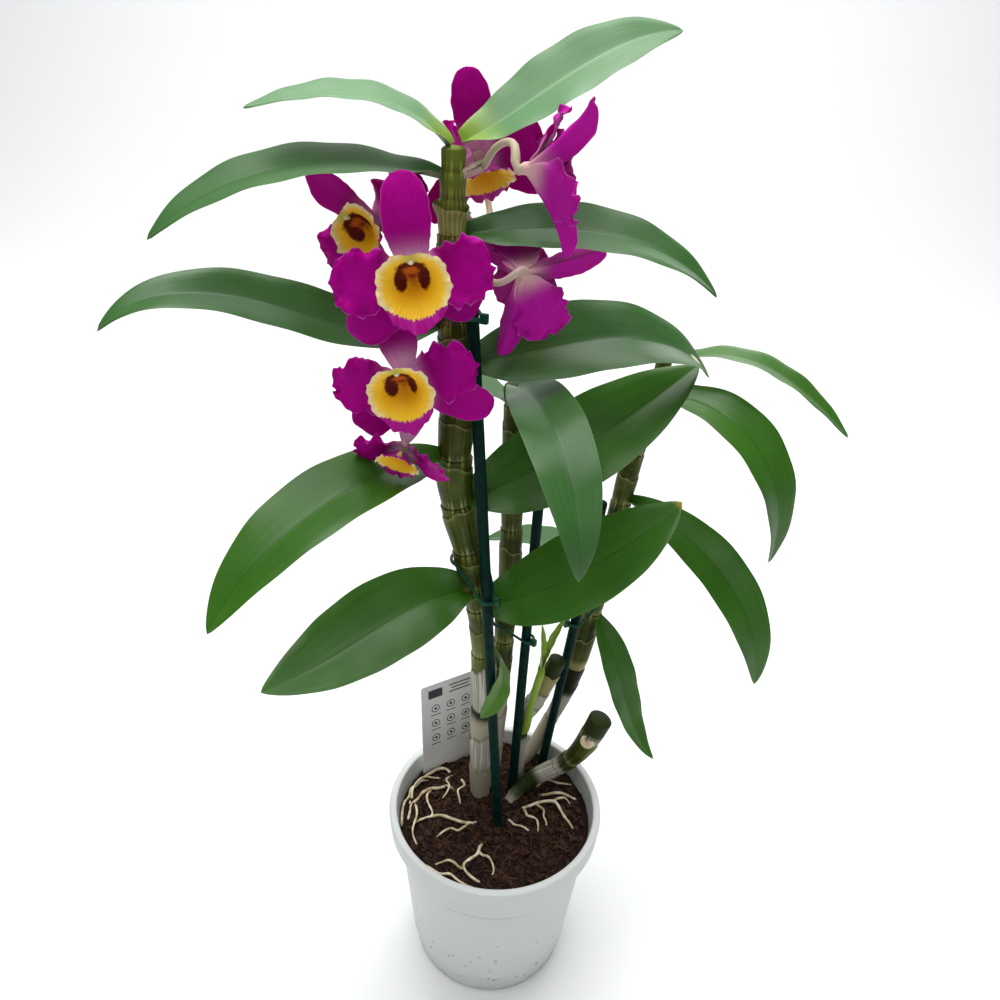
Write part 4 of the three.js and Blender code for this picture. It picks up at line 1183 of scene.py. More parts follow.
@dataclass
class Cane:
    """A jointed cane in its leaf sheaths."""

    name: str
    axis: Sequence[Triple]
    girth: Sequence[Pair]
    nodes: Sequence[float]
    finish: Finish = CANE_GREEN
    slot: str = "cane"
    dry: Sequence[Pair] = ((90, 1), (165, 1), (170, 0.2), (204, 0))  # by height
    dark: Sequence[Pair] = ((0, 0),)  # how blackened it is, by height
    striped: Sequence[Pair] = ((0, 0),)  # how strongly it is ribbed, by height
    young: Sequence[Pair] = ((0, 0),)  # how fresh its green is, by height
    scars: Sequence[Triple] = ()  # height, turn and radius of each cut where a leaf or shoot sat
    pinch: float = 0.89
    swell: float = 1.02
    ring: float = 1.6
    loose_from: float = 1000  # sheaths stand off the cane above this height
    loose_by: float = 1.1
    cut: bool = False
    route: Route = field(init=False)
    shares: list[float] = field(init=False)

    def __post_init__(self) -> None:
        """Works out the route and where the nodes lie on it."""
        self.route = Route(self.axis)
        self.shares = [self.route.share_at(height) for height in self.nodes]

    def plain_radius(self, share: float) -> float:
        """Girth without its nodes."""
        return between(self.girth, share)

    def radius(self, share: float) -> float:
        """Each sheath swells up to the next node, where the cane is pinched in.

        Args:
            share: where it is read.
        Returns:
            The radius there.
        """
        below = max([s for s in self.shares if s <= share + 1e-6], default=0.0)
        above = min([s for s in self.shares if s > share + 1e-6], default=1.0)
        climb = (share - below) / max(above - below, 1e-6)
        return self.plain_radius(share) * lerp(self.pinch, self.swell, smooth(0, 0.8, climb))

    def rows(self) -> list[Pair]:
        """Share and radius of every ring of the skin.

        Returns:
            The rings, in order.
        """
        step = self.ring / self.route.length
        shares = {0.0, 1.0}
        edges = [0.0, *self.shares, 1.0]
        for low, high in zip(edges, edges[1:]):
            count = max(3, round((high - low) * self.route.length / 4))
            shares |= {lerp(low, high - step, i / count) for i in range(count + 1)}
            shares |= {high - step * 0.5, high - step * 0.15, high}
        ordered = sorted(s for s in shares if 0 <= s <= 1)
        rows = [(share, self.radius(share)) for share in ordered]
        tip = 1.5 / self.route.length
        body = [row for row in rows if row[0] < 1 - tip * 1.01]
        top = self.radius(1 - tip)
        if self.cut:
            return [(0, 0), *body, (1 - tip / 3, top), (1, top * 0.93), (1, 0)]
        return [(0, 0), *body, (1 - tip, top), (1 - tip / 3, top * 0.75), (1, 0)]

    def band(self, share: float, _: float) -> float:
        """1 where the sheath is ribbed, just above and below a node.

        Args:
            share: where it is read.
        Returns:
            How strongly the ribs show there.
        """
        gaps = [(share - s) * self.route.length for s in self.shares]
        near = max([1 - smooth(1.2, 4.0, abs(gap - 0.8)) for gap in gaps], default=0.0)
        return max(near, between(self.striped, self.route.at(share).z))

    def dark_ring(self, share: float, _: float) -> float:
        """1 on the dark line of a node.

        Args:
            share: where it is read.
        Returns:
            How dark it is there.
        """
        gaps = [abs((share - s) * self.route.length) for s in self.shares]
        line = 0.4 * (1 - smooth(0.2, 0.8, min(gaps, default=9)))
        return max(line, between(self.dark, self.route.at(share).z))

    def youth(self, share: float, _: float) -> float:
        """How fresh the green is at a share."""
        return between(self.young, self.route.at(share).z)

    def dryness(self, share: float, _: float) -> float:
        """How dry the sheaths are, from 1 at the foot."""
        return between(self.dry, self.route.at(share).z)

    def build(self) -> None:
        """Makes the cane and its loose sheaths."""
        shape = Shape("band", "ring", "dry", "young")

        def ribs(share: float, angle: float) -> float:
            """Height of the long ribs."""
            return 0.16 * math.sin(13 * angle + 3 * math.sin(9 * share)) * self.band(share, angle)

        shape.tube(
            self.route, self.rows(), 40, ribs, band=self.band, ring=self.dark_ring, dry=self.dryness,
            young=self.youth,
        )
        for height, turn, radius in self.scars:
            share = self.route.share_at(height)
            out = heading(turn, 20)
            foot = self.route.at(share) + out * self.radius(share) * 0.7
            stump = Route([foot, foot + out * 1.6, foot + out * 2.6])
            shape.tube(stump, [(0, radius), (0.9, radius), (0.96, radius * 0.86), (1, 0)], 24, material=1)
        finishes = [self.finish, CUT_TISSUE]
        shape.settle(self.name + "_skin", self.slot, finishes, [self.name], sharp=60)
        self.build_sheaths()

    def build_sheaths(self) -> None:
        """Makes the thin sheaths that wrap each stretch and end in a ragged mouth."""
        rng = random.Random(SEED + len(self.name) + len(self.nodes))
        shape = Shape("band", "ring", "dry", "young")
        edges = [*self.shares, 1.0]
        for low, high in zip(edges, edges[1:]):
            long = (high - low) * self.route.length
            if long < 11:
                continue
            self.add_sheath(shape, low, lerp(low, high, rng.uniform(0.55, 0.85)), rng)
        shape.settle(self.name + "_sheaths", self.slot, [SHEATH, HUSK], sharp=60)

    def add_sheath(self, shape: Shape, low: float, high: float, rng: random.Random) -> None:
        """Adds one open sleeve from a node up to its mouth.

        Args:
            shape: the mesh to add to.
            low: share at its foot.
            high: share at its mouth.
            rng: gives its slit and its ragged edge.
        """
        loose = self.loose_by * smooth(self.loose_from - 4, self.loose_from, self.route.at(low).z)
        slit = rng.uniform(0, math.tau)
        phase = rng.uniform(0, math.tau)
        rise = 0.12 * (high - low)
        rows = 12
        frames = self.route.frames([lerp(low, high, i / rows) for i in range(rows + 1)])

        def place(side: float) -> Place:
            """The outer side of the sleeve for 1 and its inner side for -1.

            Args:
                side: 1 or -1.
            Returns:
                What places that side's points.
            """

            def at(u: float, v: float) -> Vector:
                """The point at u of the height and v of the turn.

                Args:
                    u: share of the height.
                    v: share of the turn.
                Returns:
                    The point.
                """
                point, across, ahead = frames[round(u * rows)]
                angle = math.tau * v
                flare = (0.12 + loose) * smooth(0.5, 1, u) * (1 + 0.6 * math.sin(3 * angle + phase))
                thick = 0.16 * math.sin(math.pi * clamp(0.04 + 0.92 * u)) * side
                fold = 0.12 * math.sin(17 * angle)
                share = lerp(low, high, u)
                reach = self.radius(share) + 0.1 + 0.15 * smooth(0, 0.15, u) + flare + thick + fold
                droop = rise * self.route.length * smooth(0.4, 1, u)
                droop *= math.cos(angle - slit) + 0.35 * math.sin(5 * angle + phase)
                along = ahead.cross(across)
                out = across * math.cos(angle) + ahead * math.sin(angle)
                return point + out * reach - along * droop

            return at

        husk = int(self.dryness(lerp(low, high, 0.6), 0) > 0.5)
        marks = {
            "band": lambda u, v: max(0.7 * (1 - smooth(0, 0.3, u)), 0.5 * smooth(0.92, 1.0, u), 0.6 * loose),
            "ring": lambda u, v: max(0.5 * smooth(0.96, 1.0, u), self.dark_ring(lerp(low, high, u), v)),
            "dry": lambda u, v: max(self.dryness(lerp(low, high, u), v), 0.3 * smooth(0.7, 1, u)),
            "young": lambda u, v: max(self.youth(lerp(low, high, u), v), 1.6 * loose),
        }

        def chart(u: float, v: float) -> Pair:
            """Decimetres along the cane, and share of the turn."""
            return lerp(low, high, u) * self.route.length / 100, v

        outer = shape.skin(rows, 40, place(1), husk, chart, **marks)
        inner = shape.skin(rows, 40, lambda u, v: place(-1)(u, 1 - v), husk, chart, **marks)
        shape.weld([*outer, *inner], 0.02)


CANE_LIST = [
    Cane(
        "cane_main",
        [(-9, 15.5, 93.4), (-9.5, 14, 130), (-9.5, 11, 180), (-12, 8, 222), (-19.5, 5.5, 269),
         (-27, 5, 310), (-26, 5, 349), (-28, 5, 380), (-29.5, 5, 416), (-29.5, 5, 450)],
        [(0, 6.2), (0.16, 6.6), (0.3, 6.3), (0.38, 5.6), (0.5, 7.2), (0.61, 8.2), (0.72, 7.8),
         (0.83, 6.8), (0.92, 5.8), (1, 4.6)],
        [121, 167, 208, 238, 252, 273, 298, 322, 347, 366, 383, 401, 418, 431, 441],
        loose_from=415,
        dry=[(160, 1), (163, 0.3), (167.5, 0.3), (169, 1), (195, 1), (200, 0)],
        dark=[(161, 0), (163, 1), (167.5, 1), (168.5, 0)],
        striped=[(167, 0), (170, 0.5), (198, 0.5), (201, 0)],
        young=[(200, 0.8), (212, 0.5), (240, 0), (395, 0), (415, 0.5), (450, 1)],
    ),
    Cane(
        "cane_second",
        [(-3, 23, 93.4), (-1.5, 24, 150), (0, 25.5, 203), (1, 28, 254), (0, 30, 300), (-2, 30, 349)],
        [(0, 4.8), (0.25, 5.2), (0.6, 5.7), (0.85, 5.4), (1, 4.2)],
        [128, 168, 204, 238, 272, 306, 338],
    ),
    Cane(
        "cane_old",
        [(13.5, 29.6, 93.4), (13, 30, 125), (14, 30, 143), (21, 30, 159), (31, 30, 188)],
        [(0, 3.8), (0.35, 4.0), (0.6, 4.8), (0.8, 5.2), (1, 4.8)],
        [138, 165],
        CANE_DRY, "dry_cane", cut=True,
        dry=[(128, 1), (131, 0), (142, 0), (145, 1), (163, 1), (167, 0)],
        dark=[(128, 0), (131, 1), (142, 1), (145, 0), (163, 0), (167, 1)],
    ),
    Cane(
        "cane_right",
        [(16, 41.8, 93.4), (25, 43, 115), (40, 46, 156), (48, 48, 202), (54, 50, 242), (59.5, 52, 290),
         (67, 54, 334), (71, 55, 356)],
        [(0, 4.0), (0.22, 4.6), (0.33, 6.2), (0.5, 5.6), (0.75, 5.4), (1, 3.8)],
        [132, 170, 209, 243, 278, 306, 334, 348],
        dry=[(150, 1), (154, 0)],
        dark=[(150, 0), (154, 1), (174, 1), (178, 0)],
    ),
    Cane(
        "cane_stub",
        [(7.5, 9.5, 93.4), (11, 12.5, 99.5), (21, 20, 105), (36, 22, 114), (46, 20, 127), (53, 18, 145),
         (57, 18, 157)],
        [(0, 3.6), (0.2, 4.4), (0.5, 5.2), (0.8, 6.2), (1, 6.6)],
        [103.5, 122],
        CANE_DRY, "dry_cane", cut=True,
        dry=[(98, 1), (101, 0), (106, 0), (109, 1), (116, 1), (119, 0)],
        dark=[(98, 0), (101, 1), (106, 1), (108, 0), (116, 0), (119, 0.9), (122, 0.9), (124, 0),
              (145, 0), (148, 1)],
        striped=[(123, 0), (125, 1), (144, 1), (147, 0)],
        scars=[(142, -108, 4.0)],
    ),
]
CANES = {cane.name: cane for cane in CANE_LIST}


@dataclass
class Stake:
    """A round coated stake, pointed at its foot."""

    name: str
    tip: Triple
    top: Triple
    radius: float = 2.6
    point: float = 8
    flutes: int = 10

    def at(self, height: float) -> Vector:
        """The stake's middle at a height."""
        low, high = Vector(self.tip), Vector(self.top)
        return low.lerp(high, (height - low.z) / (high.z - low.z))

    def build(self) -> None:
        """Makes the stake."""
        shape = Shape()
        route = Route([self.tip, self.at(150), self.top])
        tip, top = self.point / route.length, 2 / route.length
        rows = [(0, 0), (0.002, 0.6), (tip, self.radius)]
        rows += [(lerp(tip, 1 - top, i / 24), self.radius) for i in range(1, 25)]
        rows += [(1 - top * 0.5, self.radius * 0.9), (1 - top * 0.15, self.radius * 0.62), (1, 0)]
        shape.tube(route, rows, 40, lambda share, angle: -0.12 * abs(math.sin(self.flutes * angle / 2)))
        shape.settle(self.name + "_rod", "stake_coating", [STAKE_GREEN], [self.name], sharp=60)


STAKE_LIST = [
    Stake("stake_front", (8, -8.3, 22), (-20.6, -5, 393)),
    Stake("stake_middle", (8.6, 19.5, 22), (14, 23, 331)),
    Stake("stake_right", (19.5, 33.5, 22), (47, 40, 284)),
]
STAKES = {stake.name: stake for stake in STAKE_LIST}


@dataclass
class Tie:
    """A plastic-coated wire tie round a cane and its stake, with its small clasp."""

    name: str
    cane: Cane
    stake: Stake
    heights: Pair
    clasp_turn: float
    wire: float = 0.8
    clear: float = 0.7
    clasp: Triple = (3.4, 2.6, 4.2)

    def build(self) -> None:
        """Makes the tie."""
        shape = Shape()
        share = self.cane.route.share_at(self.heights[0])
        around = [
            (self.cane.route.at(share), self.cane.plain_radius(share) * self.cane.swell + self.clear),
            (self.stake.at(self.heights[1]), self.stake.radius + self.clear),
        ]

        def middle(turn: float) -> Vector:
            """The wire's middle in a direction, on the hull of both rounds.

            Args:
                turn: the direction.
            Returns:
                The point.
            """
            out = heading(turn)
            reach = [spot.dot(out) + radius + self.wire for spot, radius in around]
            share = smooth(-1.5, 1.5, reach[1] - reach[0])
            spots = [spot + out * (radius + self.wire) for spot, radius in around]
            return spots[0].lerp(spots[1], share)

        def place(u: float, v: float) -> Vector:
            """The wire's skin at u of the way round and v of its own turn.

            Args:
                u: share of the way round.
                v: share of its own turn.
            Returns:
                The point.
            """
            out = heading(360 * u)
            off = UP * math.sin(math.tau * v) - out * math.cos(math.tau * v)
            return middle(360 * u) + off * self.wire

        shape.weld(shape.skin(96, 12, place))
        stake_spot, stake_reach = around[1]
        out = stake_reach + self.clasp[0] / 2
        turned = Matrix.Rotation(math.radians(self.clasp_turn), 4, "Z") @ Matrix.Diagonal((*self.clasp, 1))
        pose = Matrix.Translation(stake_spot + heading(self.clasp_turn) * out) @ turned
        clasp = bmesh.ops.create_cube(shape.bm, size=1, matrix=pose)["verts"]
        edges = {edge for vert in clasp for edge in vert.link_edges}
        bmesh.ops.bevel(
            shape.bm, geom=list(edges), offset=0.5, segments=3, affect="EDGES", profile=0.5, material=-1
        )
        shape.settle(self.name + "_tie", "clip_plastic", [TIE_GREEN], [self.name])


TIES = [
    ("clip_upper", "cane_main", "stake_front", (390, 388), -20),
    ("clip_lower", "cane_main", "stake_front", (267, 252), -20),
    ("clip_middle", "cane_second", "stake_middle", (216, 208), -40),
    ("clip_right", "cane_right", "stake_right", (222, 208), 200),
]


# ---------- blades: leaves, sepals and petals


@dataclass
class Blade:
    """A thin folded blade on a bending midrib, which runs from its foot with its own turn and slope."""

    length: float
    width: float
    turn: Pair
    rise: Triple
    roll: Pair = (0, 0)
    thickness: float = 0.8
    fold: float = 14
    foot_fold: float = 0.0  # how much more it is folded where it starts
    peak: float = 0.45
    foot: float = 0.16
    blunt: float = 0.75
    ruffle: float = 0.35
    waves: float = 10
    crimp: float = 0.0  # height of the finer waves of the rim
    bite: float = 0.0  # depth of the notches in the rim
    pack: float = 1.3  # above 1 the cells are closer together at the midrib, below 1 at the rim
    along: int = 60
    across: int = 16

    STEPS = 48

    def outline(self, share: float) -> float:
        """Share of the full width: narrow foot, widest at the peak, pointed tip.

        Args:
            share: share of the length.
        Returns:
            The share of the width.
        """
        if share < self.peak:
            return self.foot + (1 - self.foot) * math.sin(math.pi / 2 * share / self.peak) ** 0.8
        past = ((share - self.peak) / (1 - self.peak)) ** 1.15
        return max(math.cos(math.pi / 2 * past), 0.0) ** self.blunt

    def ribs(self, start: Vector) -> list[tuple[Vector, Vector, Vector]]:
        """Point, direction across and normal at even steps of the midrib.

        Args:
            start: where its line begins.
        Returns:
            One such frame for each step.
        """
        ribs = []
        point = start.copy()
        last = None
        e0, e1, e2 = self.rise
        for i in range(self.STEPS + 1):
            s = i / self.STEPS
            rise = e0 * (1 - s) * (1 - 2 * s) + e1 * 4 * s * (1 - s) + e2 * s * (2 * s - 1)
            turn, roll = lerp(*self.turn, s), math.radians(lerp(*self.roll, s))
            tangent = heading(turn, rise)
            level = heading(turn - 90)
            over = level.cross(tangent)
            if last is not None:
                point = point + (tangent + last) * (self.length / self.STEPS / 2)
            across = level * math.cos(roll) + over * math.sin(roll)
            ribs.append((point, across, over * math.cos(roll) - level * math.sin(roll)))
            last = tangent
        return ribs

    def add_to(
        self, shape: Shape, foot: Vector, start: float = 0.0, pose: Matrix | None = None,
        back: int = 1, rng: random.Random | None = None, face: int = 0,
    ) -> None:
        """Adds the blade's two skins, which meet along a thin edge.

        Args:
            shape: the mesh to add to.
            foot: where the midrib's line begins.
            start: share of the midrib at which the blade itself begins.
            pose: turns the finished blade into place.
            back: index of the finish of its underside.
            rng: gives the phases of its waves.
            face: index of the finish of its upper side.
        """
        ribs = self.ribs(foot)
        source = rng or random.Random(round(self.length * 10 + self.width))
        phases = [source.uniform(-1, 1) for _ in range(2)]
        drift = source.uniform(0, 50)
        pose = pose or Matrix()

        def place(side: int, u: float, v: float) -> Vector:
            """A point of the blade's skin.

            Args:
                side: 1 above and -1 below.
                u: share of the length.
                v: from -1 to 1 across.
            Returns:
                The point.
            """
            share = lerp(start, 1, u)
            k = min(int(share * self.STEPS), self.STEPS - 1)
            f = share * self.STEPS - k
            near, far = ribs[k], ribs[k + 1]
            across = near[1].lerp(far[1], f).normalized()
            normal = near[2].lerp(far[2], f).normalized()
            outline = self.outline(share)
            half = max(self.width / 2 * outline, 0.08)
            edge = 0 if v < 0 else 1
            fold = math.radians(self.fold + self.foot_fold * (1 - smooth(0.0, 0.2, share)))
            groove = math.sqrt(v * v + 0.0016) - 0.04
            wave = self.ruffle * v * v * outline * math.sin(self.waves * math.pi * share + phases[edge])
            rim = max(abs(v) ** 4, smooth(0.78, 1, share)) * smooth(0.08, 0.4, share)
            flat = Vector((share * self.length, half * v, drift))
            fine = self.crimp * rim * (0.6 * noise.noise(flat / 2.6) + 1.9 * noise.noise(flat / 6))
            notch = 0.6 * noise.noise(flat / 1.9 + UP * 9) + 1.5 * noise.noise(flat / 4.5 + UP * 4)
            bite = self.bite * rim * notch
            curl = -0.03 * self.width * v**4 * outline * math.sin(fold)
            thick = self.thickness / 2 * math.sqrt(max(1 - v**6, 0)) if 0 < u < 1 else 0.0
            out = half * v * math.cos(fold) + bite * v
            lift = half * groove * math.sin(fold) + wave + fine + curl + side * thick
            ahead = across.cross(normal) * (bite * (1 - abs(v)) * smooth(0.8, 1, share))
            return pose @ (near[0].lerp(far[0], f) + across * out + normal * lift + ahead)

        def spread(v: float) -> float:
            """Packs the cells towards the midrib or the rim."""
            off = 2 * v - 1
            return math.copysign(abs(off) ** self.pack, off)

        front = shape.skin(
            self.along, self.across, lambda u, v: place(1, u, -spread(v)), face,
            lambda u, v: (u, 0.5 - 0.5 * spread(v)),
        )
        rear = shape.skin(
            self.along, self.across, lambda u, v: place(-1, u, spread(v)), back,
            lambda u, v: (u, 0.5 + 0.5 * spread(v)),
        )
        shape.weld([*front, *rear], 0.003)


@dataclass
class Leaf(Blade):
    """A strap-shaped leaf that leaves its cane at a height."""

    name: str = ""
    cane: str = "cane_main"
    height: float = 0.0
    tone: LeafTone = LeafTone.MIDDLE
    foot_fold: float = 38

    def build(self) -> None:
        """Makes the leaf."""
        cane = CANES[self.cane]
        share = cane.route.share_at(self.height)
        shape = Shape()
        self.add_to(shape, cane.route.at(share), 0.8 * cane.plain_radius(share) / self.length)
        finishes = [self.tone.value, LeafTone.UNDER.value]
        shape.settle(self.name + "_blade", "leaf", finishes, [self.name])


# number, height on the cane, length, width, turn, rise, roll and tone of each leaf
LEAF_ROWS = {
    "main": (
        (0, 214, 46, 15, (-14, -180), (-15, -45, -55), (60, 70), LeafTone.BRIGHT),
        (1, 238, 115, 43, (-16, 19), (22, 35, 43), (-39, -30), LeafTone.YELLOW_TIP),
        (2, 248, 113, 43, (212, 221), (20, -17, 8), (38, 12), LeafTone.LOW),
        (3, 299, 128, 43, (-1, 29), (20, 31, 29), (-60, -24), LeafTone.LOW),
        (4, 320, 135, 34, (216, 220), (11, -22, -57), (22, 20), LeafTone.LOW),
        (5, 364, 121, 37, (0, 19), (11, 5, -52), (-58, -18), LeafTone.SCARRED),
        (6, 383, 142, 26, (193, 200), (-24, 18, -48), (42, 27), LeafTone.MIDDLE),
        (7, 417, 112, 24, (-7, -2), (11, -5, -47), (-48, -23), LeafTone.MIDDLE),
        (8, 437, 119, 26, (195, 197), (15, -9, -43), (14, 28), LeafTone.MATT),
        (9, 446, 82, 21, (186, 194), (58, 5, -15), (20, 15), LeafTone.HIGH),
        (10, 449, 94, 28, (0, 17), (24, 33, 3), (-36, -43), LeafTone.HIGH),
    ),
    "second": (
        (1, 336, 75, 26, (150, 160), (25, 0, -30), (0, 0), LeafTone.MIDDLE),
        (2, 346, 123, 28, (-75, -67), (25, -25, -90), (-28, -2), LeafTone.MIDDLE),
    ),
    "right": (
        (1, 210, 98, 20, (-48, -25), (-35, -68, -40), (-28, -11), LeafTone.LOW),
        (2, 240, 70, 24, (165, 175), (20, 5, -20), (0, 0), LeafTone.MIDDLE),
        (3, 280, 133, 27, (-28, -28), (-8, -44, -88), (-23, -49), LeafTone.LOW),
        (4, 334, 124, 27, (-39, -16), (32, -47, -97), (-20, -35), LeafTone.LOW),
        (5, 351, 105, 21, (-15, -6), (39, -21, -43), (6, -24), LeafTone.LOW),
    ),
}
LEAVES = [
    Leaf(length, width, turn, rise, roll, name=f"leaf_{cane}_{number}", cane=f"cane_{cane}",
         height=height, tone=tone)
    for cane, rows in LEAF_ROWS.items()
    for number, height, length, width, turn, rise, roll, tone in rows
]


# ---------- blooms and their stalks


@dataclass
class Sepal(Blade):
    """A smooth strap-shaped segment."""

    length: float = 38
    width: float = 18.5
    turn: Pair = (0, 0)
    rise: Triple = (10, 2, -20)
    thickness: float = 0.7
    fold: float = 6
    peak: float = 0.6
    foot: float = 0.27
    blunt: float = 0.42
    ruffle: float = 0.45
    waves: float = 3
    crimp: float = 0.5
    bite: float = 0.35
    pack: float = 0.85
    along: int = 40
    across: int = 16
    layer: float = -0.9


@dataclass
class Petal(Sepal):
    """A broad segment with a ruffled rim."""

    length: float = 30
    width: float = 25
    rise: Triple = (14, 5, -10)
    fold: float = 3
    peak: float = 0.6
    foot: float = 0.17
    ruffle: float = 1.6
    waves: float = 6
    crimp: float = 3.0
    bite: float = 2.6
    pack: float = 0.75
    along: int = 52
    across: int = 26
    layer: float = 0.7


@dataclass
class Lip:
    """The trumpet-shaped lip with its frilled rim, the magenta lobe in front and the column above."""

    mouth: Sequence[Pair] = (
        (0, 5), (2.3, 6.2), (4.7, 8.1), (6.8, 10.5), (8.8, 12.6), (10.9, 14.0), (12.8, 14.9),
        (13.9, 15.2),
    )
    wall: float = 0.7
    frill: float = 0.9
    chin: Pair = (3.4, 1.2)  # the front lobe reaches this much lower and forward
    notch: float = 0.2  # the rim is cut back this much above the column
    notch_reach: float = 30
    column: Sequence[Triple] = ((0, 7.4, 8.6), (0, 8.4, 10.6), (0, 9.2, 12.2))
    foot: float = 2.4
    lift_per_degree: float = 0.04
    rows: int = 24
    sides: int = 108
    chart_size: float = 40

    def add_to(self, shape: Shape, pose: Matrix, droop: float, rng: random.Random) -> None:
        """Adds the lip and the column.

        Args:
            shape: the mesh to add to; its finishes are the face, the back and the column.
            pose: turns the bloom's own frame into place.
            droop: how far the lip hangs below the way that the bloom looks.
            rng: gives the phases of its frills.
        """
        phases = [rng.uniform(0, math.tau) for _ in range(4)]
        hang = pose @ Matrix.Translation((0, 0, self.foot + self.lift_per_degree * droop))
        hang = hang @ Matrix.Rotation(math.radians(droop), 4, "X") @ Matrix.Translation((0, 0, -self.foot))
        reach = self.mouth[-1][0]

        def flat(u: float, v: float, back: float) -> Vector:
            """A point in the lip's own frame.

            Args:
                u: share of the way from the throat out.
                v: share of the turn.
                back: how far behind the face it lies.
            Returns:
                The point.
            """
            turn = 360 * v + 90
            angle = math.radians(turn)
            off = (turn - 90 + 180) % 360 - 180
            held = u * (1 - self.notch * math.exp(-((off / self.notch_reach) ** 2)))
            radius = held * reach
            z = between(self.mouth, radius)
            flare = held**4
            lobe = flare * max(0.0, -math.sin(angle)) ** 3
            wave = math.sin(11 * angle + phases[0]) + 0.6 * math.sin(19 * angle + phases[1])
            sway = math.sin(9 * angle + phases[2]) + 0.6 * math.sin(23 * angle + phases[3])
            radius *= 1 + 0.03 * flare * sway
            pleat = 0.12 * held * math.sin(34 * angle + phases[1])
            z += self.frill * flare * held**4 * wave + pleat - back * (1 - 0.4 * lobe)
            down, forward = self.chin
            spot = heading(turn) * radius
            return Vector((spot.x, spot.y - down * lobe, z + forward * lobe))

        def chart(u: float, v: float) -> Pair:
            """The face seen from the front, with its middle in the middle of the map."""
            spot = flat(u, v, 0)
            return spot.x / self.chart_size + 0.5, spot.y / self.chart_size + 0.5

        def fringe(u: float, v: float) -> float:
            """How far past the line of the magenta fringe, which is low on the face.

            Args:
                u: share of the way from the throat out.
                v: share of the turn.
            Returns:
                The distance, below zero inside the line.
            """
            spot = flat(u, v, 0)
            limit = lerp(reach + 2.5, reach - 1.6, smooth(-5.5, -9.5, spot.y))
            return math.hypot(spot.x, spot.y) - limit - 1.1

        marks = {"ray": lambda u, v: 70 * v, "depth": lambda u, v: u, "fringe": fringe}
        front = shape.skin(self.rows, self.sides, lambda u, v: hang @ flat(u, v, 0), 0, chart, **marks)
        rear = shape.skin(
            self.rows, self.sides, lambda u, v: hang @ flat(u, 1 - v, self.wall if u < 1 else 0), 1,
            lambda u, v: (0.35 + 0.6 * u, v), **marks,
        )
        shape.weld([*front, *rear], 0.004)
        stem = Route([hang @ Vector(point) for point in self.column])
        size = pose.median_scale
        rows = [(0, 0), (0.02, 1.2 * size), (0.4, 1.4 * size), (0.75, 1.7 * size), (0.92, 1.6 * size)]
        shape.tube(stem, [*rows, (0.98, 1.1 * size), (1, 0)], 16, material=2)
        tip = Vector(self.column[-1])
        steps = ((0, -0.4, -0.6), (0, -1.0, 0.3), (0, -1.8, 0.8))
        cap = Route([hang @ (tip + Vector(step)) for step in steps])
        ends = [(0, 0), (0.15, 0.8 * size), (0.5, 1.1 * size), (0.85, 0.8 * size), (1, 0)]
        shape.tube(cap, ends, 12, material=3)


@dataclass
class Bloom:
    """One flower: three sepals, two petals, a small spur behind and the lip."""

    name: str
    centre: Triple
    face: Pair
    spin: float = 0
    size: float = 1
    cup: float = 0
    droop: float = 0
    fold: float = 0  # how much more its sepals are folded
    lean: dict[int, float] = field(default_factory=dict)  # more cup, by the segment's angle
    reach: dict[int, float] = field(default_factory=dict)  # share of the usual length, by angle

    SEPALS = (90, -30, -142)
    PETALS = (6, 176)
    BOSS = 2.6
    DEPTH = 3.8

    def pose(self) -> Matrix:
        """Turns the bloom's own frame, in which it looks along +Z, into place.

        Returns:
            The bloom's pose.
        """
        forward = heading(*self.face)
        right = UP.cross(forward).normalized()
        basis = Matrix((right, forward.cross(right), forward)).transposed().to_4x4()
        spun = basis @ Matrix.Rotation(math.radians(self.spin), 4, "Z") @ Matrix.Scale(self.size, 4)
        return Matrix.Translation(self.centre) @ spun

    def build(self) -> None:
        """Makes the perianth and the lip."""
        rng = random.Random(self.name)
        pose = self.pose()
        shape = Shape()
        segments = [(Sepal(), turn) for turn in self.SEPALS] + [(Petal(), turn) for turn in self.PETALS]
        for segment, turn in segments:
            lean = self.cup + self.lean.get(turn, 0)
            length = segment.length * self.reach.get(turn, 1)
            rise = tuple(slope + lean + rng.uniform(-2, 2) for slope in segment.rise)
            roll = (0, rng.uniform(-6, 6))
            sepal = turn in self.SEPALS
            fold = segment.fold + (self.fold if sepal else 0)
            blade = replace(segment, length=length, rise=rise, turn=(turn, turn), roll=roll, fold=fold)
            foot = heading(turn) * (self.BOSS / 2)
            blade.add_to(shape, Vector((foot.x, foot.y, segment.layer)), 0, pose, 1, rng, 2 if sepal else 0)
        spur = Route([pose @ Vector(p) for p in ((0, 0, 2.5), (0, 0, 0), (0, -0.6, -2.2), (0, -2.6, -4.2))])
        ends = [(0, 0), (0.06, self.BOSS * self.size), (0.45, self.BOSS * self.size)]
        ends += [(0.7, 1.9 * self.size), (0.92, 1.2 * self.size), (1, 0)]
        shape.tube(spur, ends, 20, material=1)
        finishes = [PETAL_SKIN, PETAL_BACK, SEPAL_SKIN]
        shape.settle(self.name + "_perianth", "petal", finishes, [self.name + "_petals"], 70)
        lip = Shape("ray", "depth", "fringe")
        Lip().add_to(lip, pose, self.droop, rng)
        finishes = [LIP_SKIN, LIP_BACK, COLUMN_SKIN, ANTHER]
        lip.settle(self.name + "_trumpet", "lip", finishes, [self.name + "_lip"], 70)


